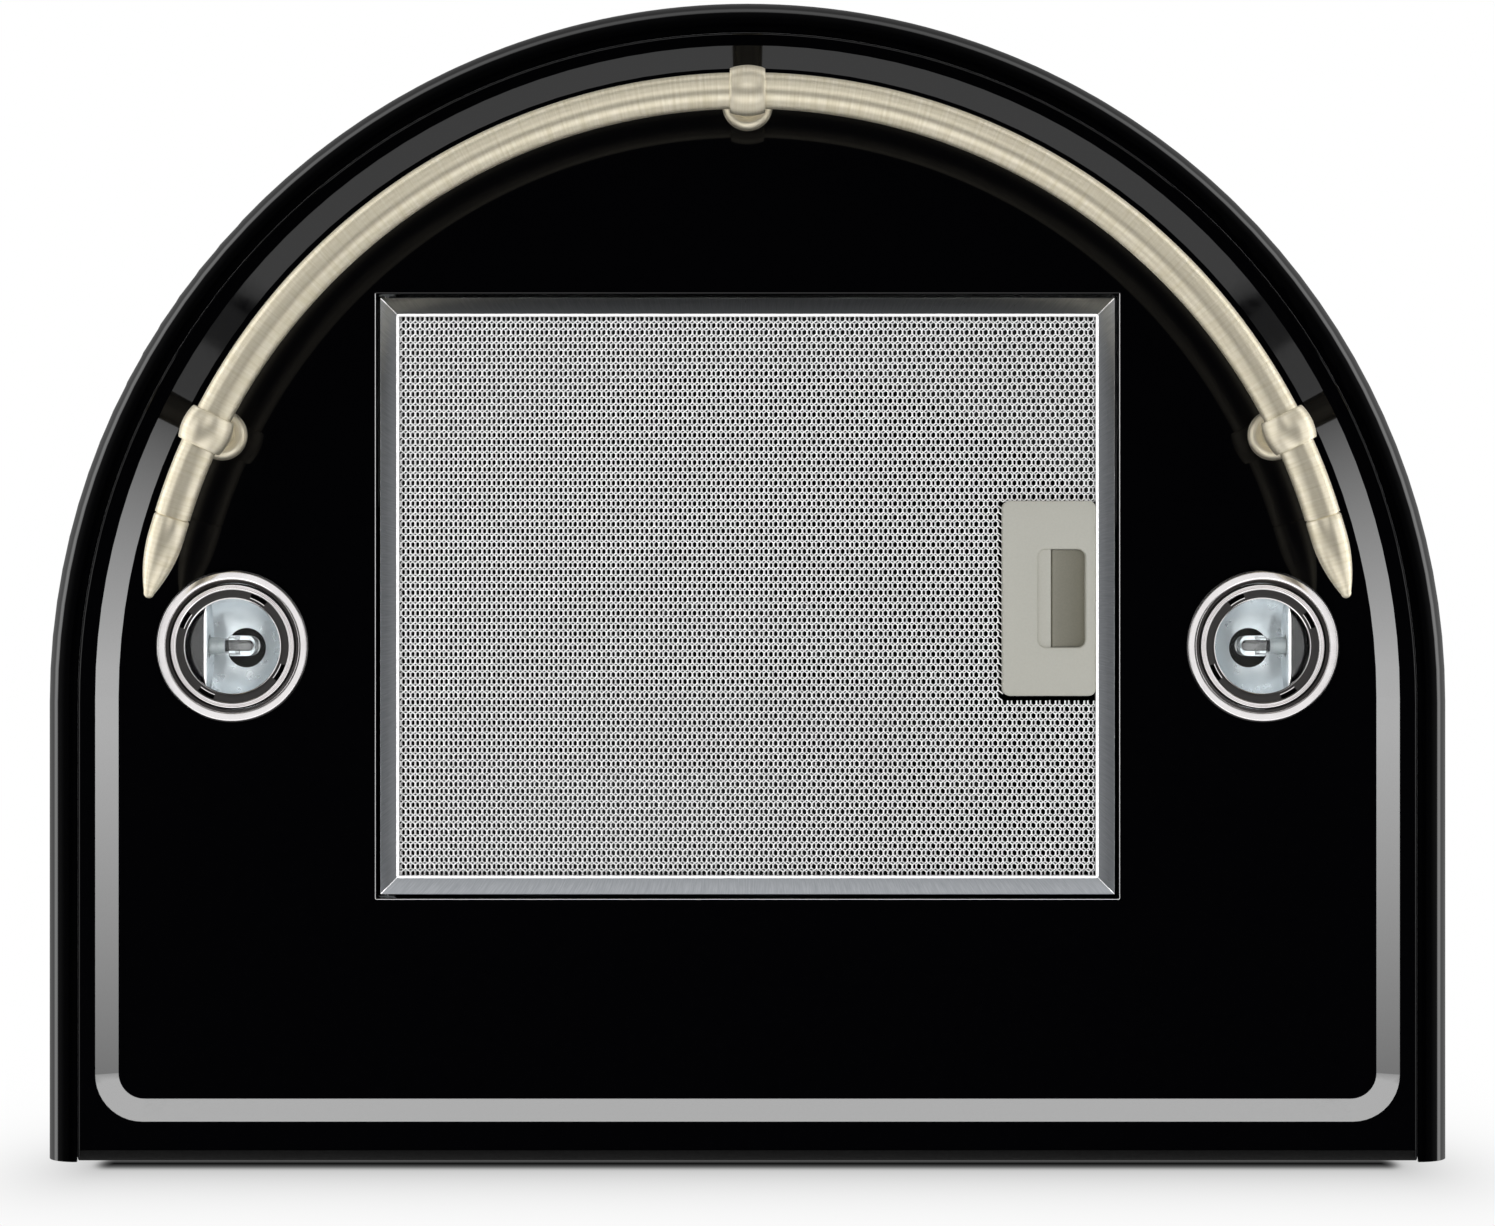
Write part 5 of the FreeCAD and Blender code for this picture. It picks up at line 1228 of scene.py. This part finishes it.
UNDERSIDE = at(0, -200, 0)
BLOWER = ("scroll_front", "scroll_back", "motor_body", "motor_bracket", "blower_mount_frame", "blower_screws",
          "impeller")
RAIL = ("rail_bar", "rail_finial_left", "rail_finial_right", "rail_post_left", "rail_post_center",
        "rail_post_right", "rail_rosette_domes")
BOWLS = tuple(f"{name}_{side.word}" for side in Side for name in ("lamp_reflector", "lamp_capsule", "lamp_lens"))
LAMP_RINGS = tuple(f"{name}_{side.word}" for side in Side
                   for name in ("lamp_bezel", "lamp_twist_ring", "lamp_bowl_edge"))
LIGHT_GROUPS = (
    LightGroup("not_the_shell", Reach.SPARED, ("canopy_shell", *BLOWER), (
        SoftLight("fill_left", (-1.9, 0.0, -1.25), 2.1, 2.4, 0.85),
        SoftLight("fill_right", (1.9, 0.0, -1.25), 2.1, 2.4, 0.85),
        SoftLight("fill_back", (0.0, 1.5, -1.44), 1.9, 2.6, 0.8))),
    LightGroup("brass_only", Reach.ONLY, RAIL, (
        SoftLight("fill_front", (0.0, -1.2, -1.35), 1.5, 2.4, 1.0),
        SoftLight("fill_rail_left", (-1.35, 0.0, -1.25), 0.8, 2.4, 0.9),
        SoftLight("fill_rail_right", (1.35, 0.0, -1.25), 0.8, 2.4, 0.9),
        SoftLight("fill_rail_back", (0.0, 1.3, -1.4), 1.0, 2.4, 0.55),
        SoftLight("fill_rail_front", (0.0, -0.65, -1.5), 0.8, 0.8, 1.1))),
    LightGroup("mesh_only", Reach.ONLY, ("filter_weave_front", "filter_weave_back", "filter_inner_bead"), (
        SoftLight("fill_mesh", (0.0, 0.0, -1.7), 1.6, 1.6, 4.9),)),
    LightGroup("latch_only", Reach.ONLY, ("latch_cover", "latch_finger_slide"), (
        SoftLight("fill_latch", (0.0, 0.0, -1.7), 1.6, 1.6, 4.0),)),
    LightGroup("frame_only", Reach.ONLY, ("filter_surround",), (
        SoftLight("fill_frame", (0.0, 0.0, -1.5), 1.1, 3.4, 0.42),)),
    LightGroup("lamps_only", Reach.ONLY, LAMP_RINGS + BOWLS, (
        SoftLight("fill_lamps", (0.0, 0.0, -1.5), 2.4, 3.2, 0.95),)),
    LightGroup("bowls_only", Reach.ONLY, BOWLS, (
        SoftLight("fill_bowls", (0.0, 0.0, -1.4), 2.4, 3.2, 1.1),)),
    LightGroup("front_band", Reach.ONLY, ("underside_panel", "rim_bead"), (
        SoftLight("fill_band", (0.0, 0.95, -1.25), 0.7, 1.9, 2.8),)),
)
RIBBON_GROUP = LightGroup("band_only", Reach.ONLY, ("underside_panel", "opening_bead", "rim_bead"))


@dataclass
class Studio:
    """Camera, wall, floor, soft lights and the world round them."""

    picture: tuple[int, int] = (1495, 1226)
    mm_per_pixel: float = 0.4262
    distance: float = 1450.0
    sensor: float = 36.0
    optical_row: float = 600.0
    camera_y: float = -239.6
    wall_gap_m: float = 0.0006
    wall_foot_m: float = -0.43
    wall_top_m: float = 0.9
    wall_half_m: float = 1.0
    floor_half_m: float = 4.0
    floor_drop_m: float = 0.08
    shade_half_share: float = 0.9
    soft_fade: float = 57.0
    soft_share: float = 0.555
    tight_fade: float = 14.0
    tight_share: float = 0.445
    lid_drop: float = 30.0
    lid_inset: float = 0.4
    ribbon_radius_m: float = 0.98
    ribbon_levels_m: Point = (-1.5, -0.84)
    ribbon_rear_m: float = 0.7
    ribbon_fade_m: Point = (-0.12, 0.38)
    ribbon_radiance: float = 33.4
    ribbon_faint: float = 2.8
    ring_front: float = 1.1
    ring_side: float = 3.0
    matt_fill: float = 0.3

    def camera(self) -> None:
        """Camera under the hood, looking straight up."""
        data = bpy.data.cameras.new("camera")
        data.lens = self.sensor * self.distance / (self.picture[0] * self.mm_per_pixel)
        data.sensor_width = self.sensor
        data.shift_y = (self.optical_row - self.picture[1] / 2) / self.picture[0]
        made = place("camera", data)
        made.location = at(0, self.camera_y, -self.distance)
        made.rotation_euler = (math.pi, 0, 0)
        bpy.context.scene.camera = made

    def bare_tree(self, owner: bpy.types.Material | bpy.types.World) -> bpy.types.NodeTree:
        """Empties the node tree of a material or a world.

        Args:
            owner: The material or the world.

        Returns:
            Its tree.
        """
        owner.use_nodes = True
        owner.node_tree.nodes.clear()
        return owner.node_tree

    def one_sided(self, name: str, colour: str, white: bool = False) -> bpy.types.Material:
        """Matt paint that shows only its front.

        Args:
            name: Name of the material.
            colour: Its colour as an sRGB hex code.
            white: Whether the camera sees plain white instead, as strong as its node "seen" says.

        Returns:
            The material.
        """
        made = bpy.data.materials.new(name)
        tree = self.bare_tree(made)
        shown = add(tree, "ShaderNodeBsdfDiffuse", {"Color": linear(colour)})
        if white:
            bright = add(tree, "ShaderNodeEmission", {"Color": linear("#FFFFFF"), "Strength": 1.0}, name="seen")
            camera = add(tree, "ShaderNodeLightPath", out="Is Camera Ray")
            shown = add(tree, "ShaderNodeMixShader", {0: camera, 1: shown, 2: bright})
        through = add(tree, "ShaderNodeBsdfTransparent")
        behind = add(tree, "ShaderNodeNewGeometry", out="Backfacing")
        both = add(tree, "ShaderNodeMixShader", {0: behind, 1: shown, 2: through})
        add(tree, "ShaderNodeOutputMaterial", {"Surface": both})
        return made

    def sheet(self, name: str, corners: list[tuple[float, float, float]], material: bpy.types.Material,
              mirrored: bool = False) -> None:
        """Adds a flat backdrop that casts no shadow.

        Args:
            name: Its name.
            corners: Corners in metres.
            material: Its material.
            mirrored: Whether shiny pieces show it.
        """
        data = bpy.data.meshes.new(name)
        data.from_pydata(corners, [], [tuple(range(len(corners)))])
        data.materials.append(material)
        made = place(name, data)
        made.visible_glossy, made.visible_shadow = mirrored, False

    def shade_wall(self, paint: bpy.types.Material) -> None:
        """Painted soft shadow of the hood on the wall, darkest where its lower edge meets it.

        Args:
            paint: The wall's paint.
        """
        tree = paint.node_tree
        here = add(tree, "ShaderNodeTexCoord", out="Object")
        values = dict(add(tree, "ShaderNodeSeparateXYZ", {0: here}).node.outputs.items())
        for name, operation, one, other in (
            ("under", "SUBTRACT", RIM_Z, "Z"),
            ("apart", "ABSOLUTE", "under", 0.0),
            ("from middle", "ABSOLUTE", "X", 0.0),
            ("past side", "SUBTRACT", "from middle", HALF_WIDTH * MM * self.shade_half_share),
            ("beside", "MAXIMUM", "past side", 0.0),
            ("widened", "MULTIPLY", "beside", 2.0),
            ("apart squared", "POWER", "apart", 2.0),
            ("widened squared", "POWER", "widened", 2.0),
            ("away squared", "ADD", "apart squared", "widened squared"),
            ("away", "SQRT", "away squared", 0.0),
            ("soft run", "DIVIDE", "away", -self.soft_fade * MM),
            ("soft fade", "EXPONENT", "soft run", 0.0),
            ("soft", "MULTIPLY", "soft fade", self.soft_share),
            ("tight run", "DIVIDE", "away", self.tight_fade * MM),
            ("tight power", "POWER", "tight run", 4.0),
            ("tight fall", "MULTIPLY", "tight power", -1.0),
            ("tight fade", "EXPONENT", "tight fall", 0.0),
            ("tight", "MULTIPLY", "tight fade", self.tight_share),
            ("lit", "SUBTRACT", 1.0, "soft"),
            ("left", "SUBTRACT", "lit", "tight"),
        ):
            values[name] = add(tree, "ShaderNodeMath", {0: values.get(one, one), 1: values.get(other, other)},
                               operation=operation)
        # The painted shadow dims the white that the camera sees on the wall.
        tree.links.new(values["left"], tree.nodes["seen"].inputs["Strength"])

    def walls(self) -> None:
        """Wall behind the hood with a painted shadow, floor far below it, and a black lid inside the chimney painted as
        the shade up the duct.
        """
        wall, floor = [self.one_sided(f"{name}_paint", "#E8E8E8", True) for name in ("wall", "floor")]
        self.shade_wall(wall)
        back, foot, top, wide = self.wall_gap_m, self.wall_foot_m, self.wall_top_m, self.wall_half_m
        self.sheet("wall", [(-wide, back, foot), (wide, back, foot), (wide, back, top), (-wide, back, top)], wall)
        deep, half = at(0, 0, -self.distance).z - self.floor_drop_m, self.floor_half_m
        self.sheet("floor", [(-half, -half, deep), (half, -half, deep), (half, half, deep), (-half, half, deep)],
                   floor)
        low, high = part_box("chimney_upper")
        inset, level = self.lid_inset * MM, high.z - self.lid_drop * MM
        radius, rear = high.x - inset, high.y - inset
        outline = [(-radius, rear), (radius, rear)] + arc((0.0, low.y + high.x), radius, -radius, 0, 180, 36)
        # Black lid: painted shade up the duct, seen by the camera and by shiny pieces.
        self.sheet("duct_shade_lid", [(x, y, level) for x, y in outline], self.one_sided("duct_shade_black", "#000000"), True)

    def ribbon(self) -> None:
        """Bright ribbon round the sides and the front, which only the sloping band mirrors."""
        radius, rear = self.ribbon_radius_m, self.ribbon_rear_m
        line = [(-radius, rear)] + arc((0.0, 0.0), -radius, -radius, 0, 180, 36) + [(radius, rear)]
        corners = [UNDERSIDE + Vector((x, y, z)) for z in self.ribbon_levels_m for x, y in line]
        count = len(line)
        data = bpy.data.meshes.new("ribbon")
        data.from_pydata(corners, [], [(step, step + 1, count + step + 1, count + step)
                                       for step in range(count - 1)])
        glow = bpy.data.materials.new("ribbon_glow")
        tree = self.bare_tree(glow)
        here = add(tree, "ShaderNodeTexCoord", out="Object")
        inwards = add(tree, "ShaderNodeSeparateXYZ", {0: here}, "Y")
        fade = add(tree, "ShaderNodeMapRange", {
            "Value": inwards, "From Min": self.ribbon_fade_m[0], "From Max": self.ribbon_fade_m[1],
            "To Min": self.ribbon_radiance, "To Max": self.ribbon_faint})
        shine = add(tree, "ShaderNodeEmission", {"Color": linear("#FFFFFF"), "Strength": fade})
        add(tree, "ShaderNodeOutputMaterial", {"Surface": shine})
        data.materials.append(glow)
        made = place("ribbon", data)
        made.visible_camera = made.visible_shadow = made.visible_diffuse = False
        made.light_linking.receiver_collection = RIBBON_GROUP.build()

    def world(self) -> None:
        """White for the camera, even for matt surfaces, and for shiny ones a bright ring at the horizon."""
        made = bpy.data.worlds.new("studio")
        bpy.context.scene.world = made
        tree = self.bare_tree(made)
        way = add(tree, "ShaderNodeTexCoord", out="Generated")
        part = add(tree, "ShaderNodeSeparateXYZ", {0: way}).node.outputs
        lowered = add(tree, "ShaderNodeMapRange", {"Value": part["Z"], "From Min": -1.0, "From Max": 1.0})
        mirror = add(tree, "ShaderNodeValToRGB", {"Fac": lowered}, stops=(
            (0.0, "#0C0C0C"), (0.22, "#1A1A1A"), (0.35, "#343434"), (0.46, "#3C3C3C"), (0.497, "#FFFFFF"),
            (0.58, "#FFFFFF"), (0.66, "#909090"), (1.0, "#747474")))
        beside = add(tree, "ShaderNodeMath", {0: part["X"], 1: part["X"]}, operation="MULTIPLY")
        power = add(tree, "ShaderNodeMapRange", {"Value": beside, "To Min": self.ring_front,
                                                 "To Max": self.ring_side})
        shiny = add(tree, "ShaderNodeBackground", {"Color": mirror, "Strength": power})
        matt, white = [add(tree, "ShaderNodeBackground", {"Color": linear("#FFFFFF"), "Strength": strength})
                       for strength in (self.matt_fill, 1.0)]
        path = add(tree, "ShaderNodeLightPath").node.outputs
        seen = matt
        for ray, light in (("Is Glossy Ray", shiny), ("Is Transmission Ray", shiny), ("Is Camera Ray", white)):
            seen = add(tree, "ShaderNodeMixShader", {0: path[ray], 1: seen, 2: light})
        add(tree, "ShaderNodeOutputWorld", {"Surface": seen})

    def build(self) -> None:
        """Sets the studio up."""
        self.camera()
        self.walls()
        self.ribbon()
        for group in LIGHT_GROUPS:
            group.build()
        self.world()
        bpy.context.scene.view_settings.view_transform = "Standard"


def dress_nodes() -> None:
    """Gives each node of the model its own finish or that of its record slot."""
    slots = {entry["node"]: entry["material_slot"] for entry in frame["record"]["subparts"]}
    for name, item in frame["nodes"].items():
        finish = NODE_FINISHES.get(name) or SLOT_FINISHES.get(slots.get(name, ""), GALVANISED)
        if not item.material_slots:
            item.data.materials.append(finish.material())
        for slot in item.material_slots:
            slot.material = finish.material()


def main() -> None:
    """Dresses the nodes and builds each sub-assembly and the studio."""
    logging.basicConfig(level=logging.INFO, format="%(message)s")
    dress_nodes()
    for assembly in (GrabRail(), GreaseFilter(), FilterLatch(), CanopyLamp(Side.LEFT), CanopyLamp(Side.RIGHT),
                     RimBead(), ControlPanel(), Studio()):
        assembly.build()


if __name__ == "__main__":
    main()
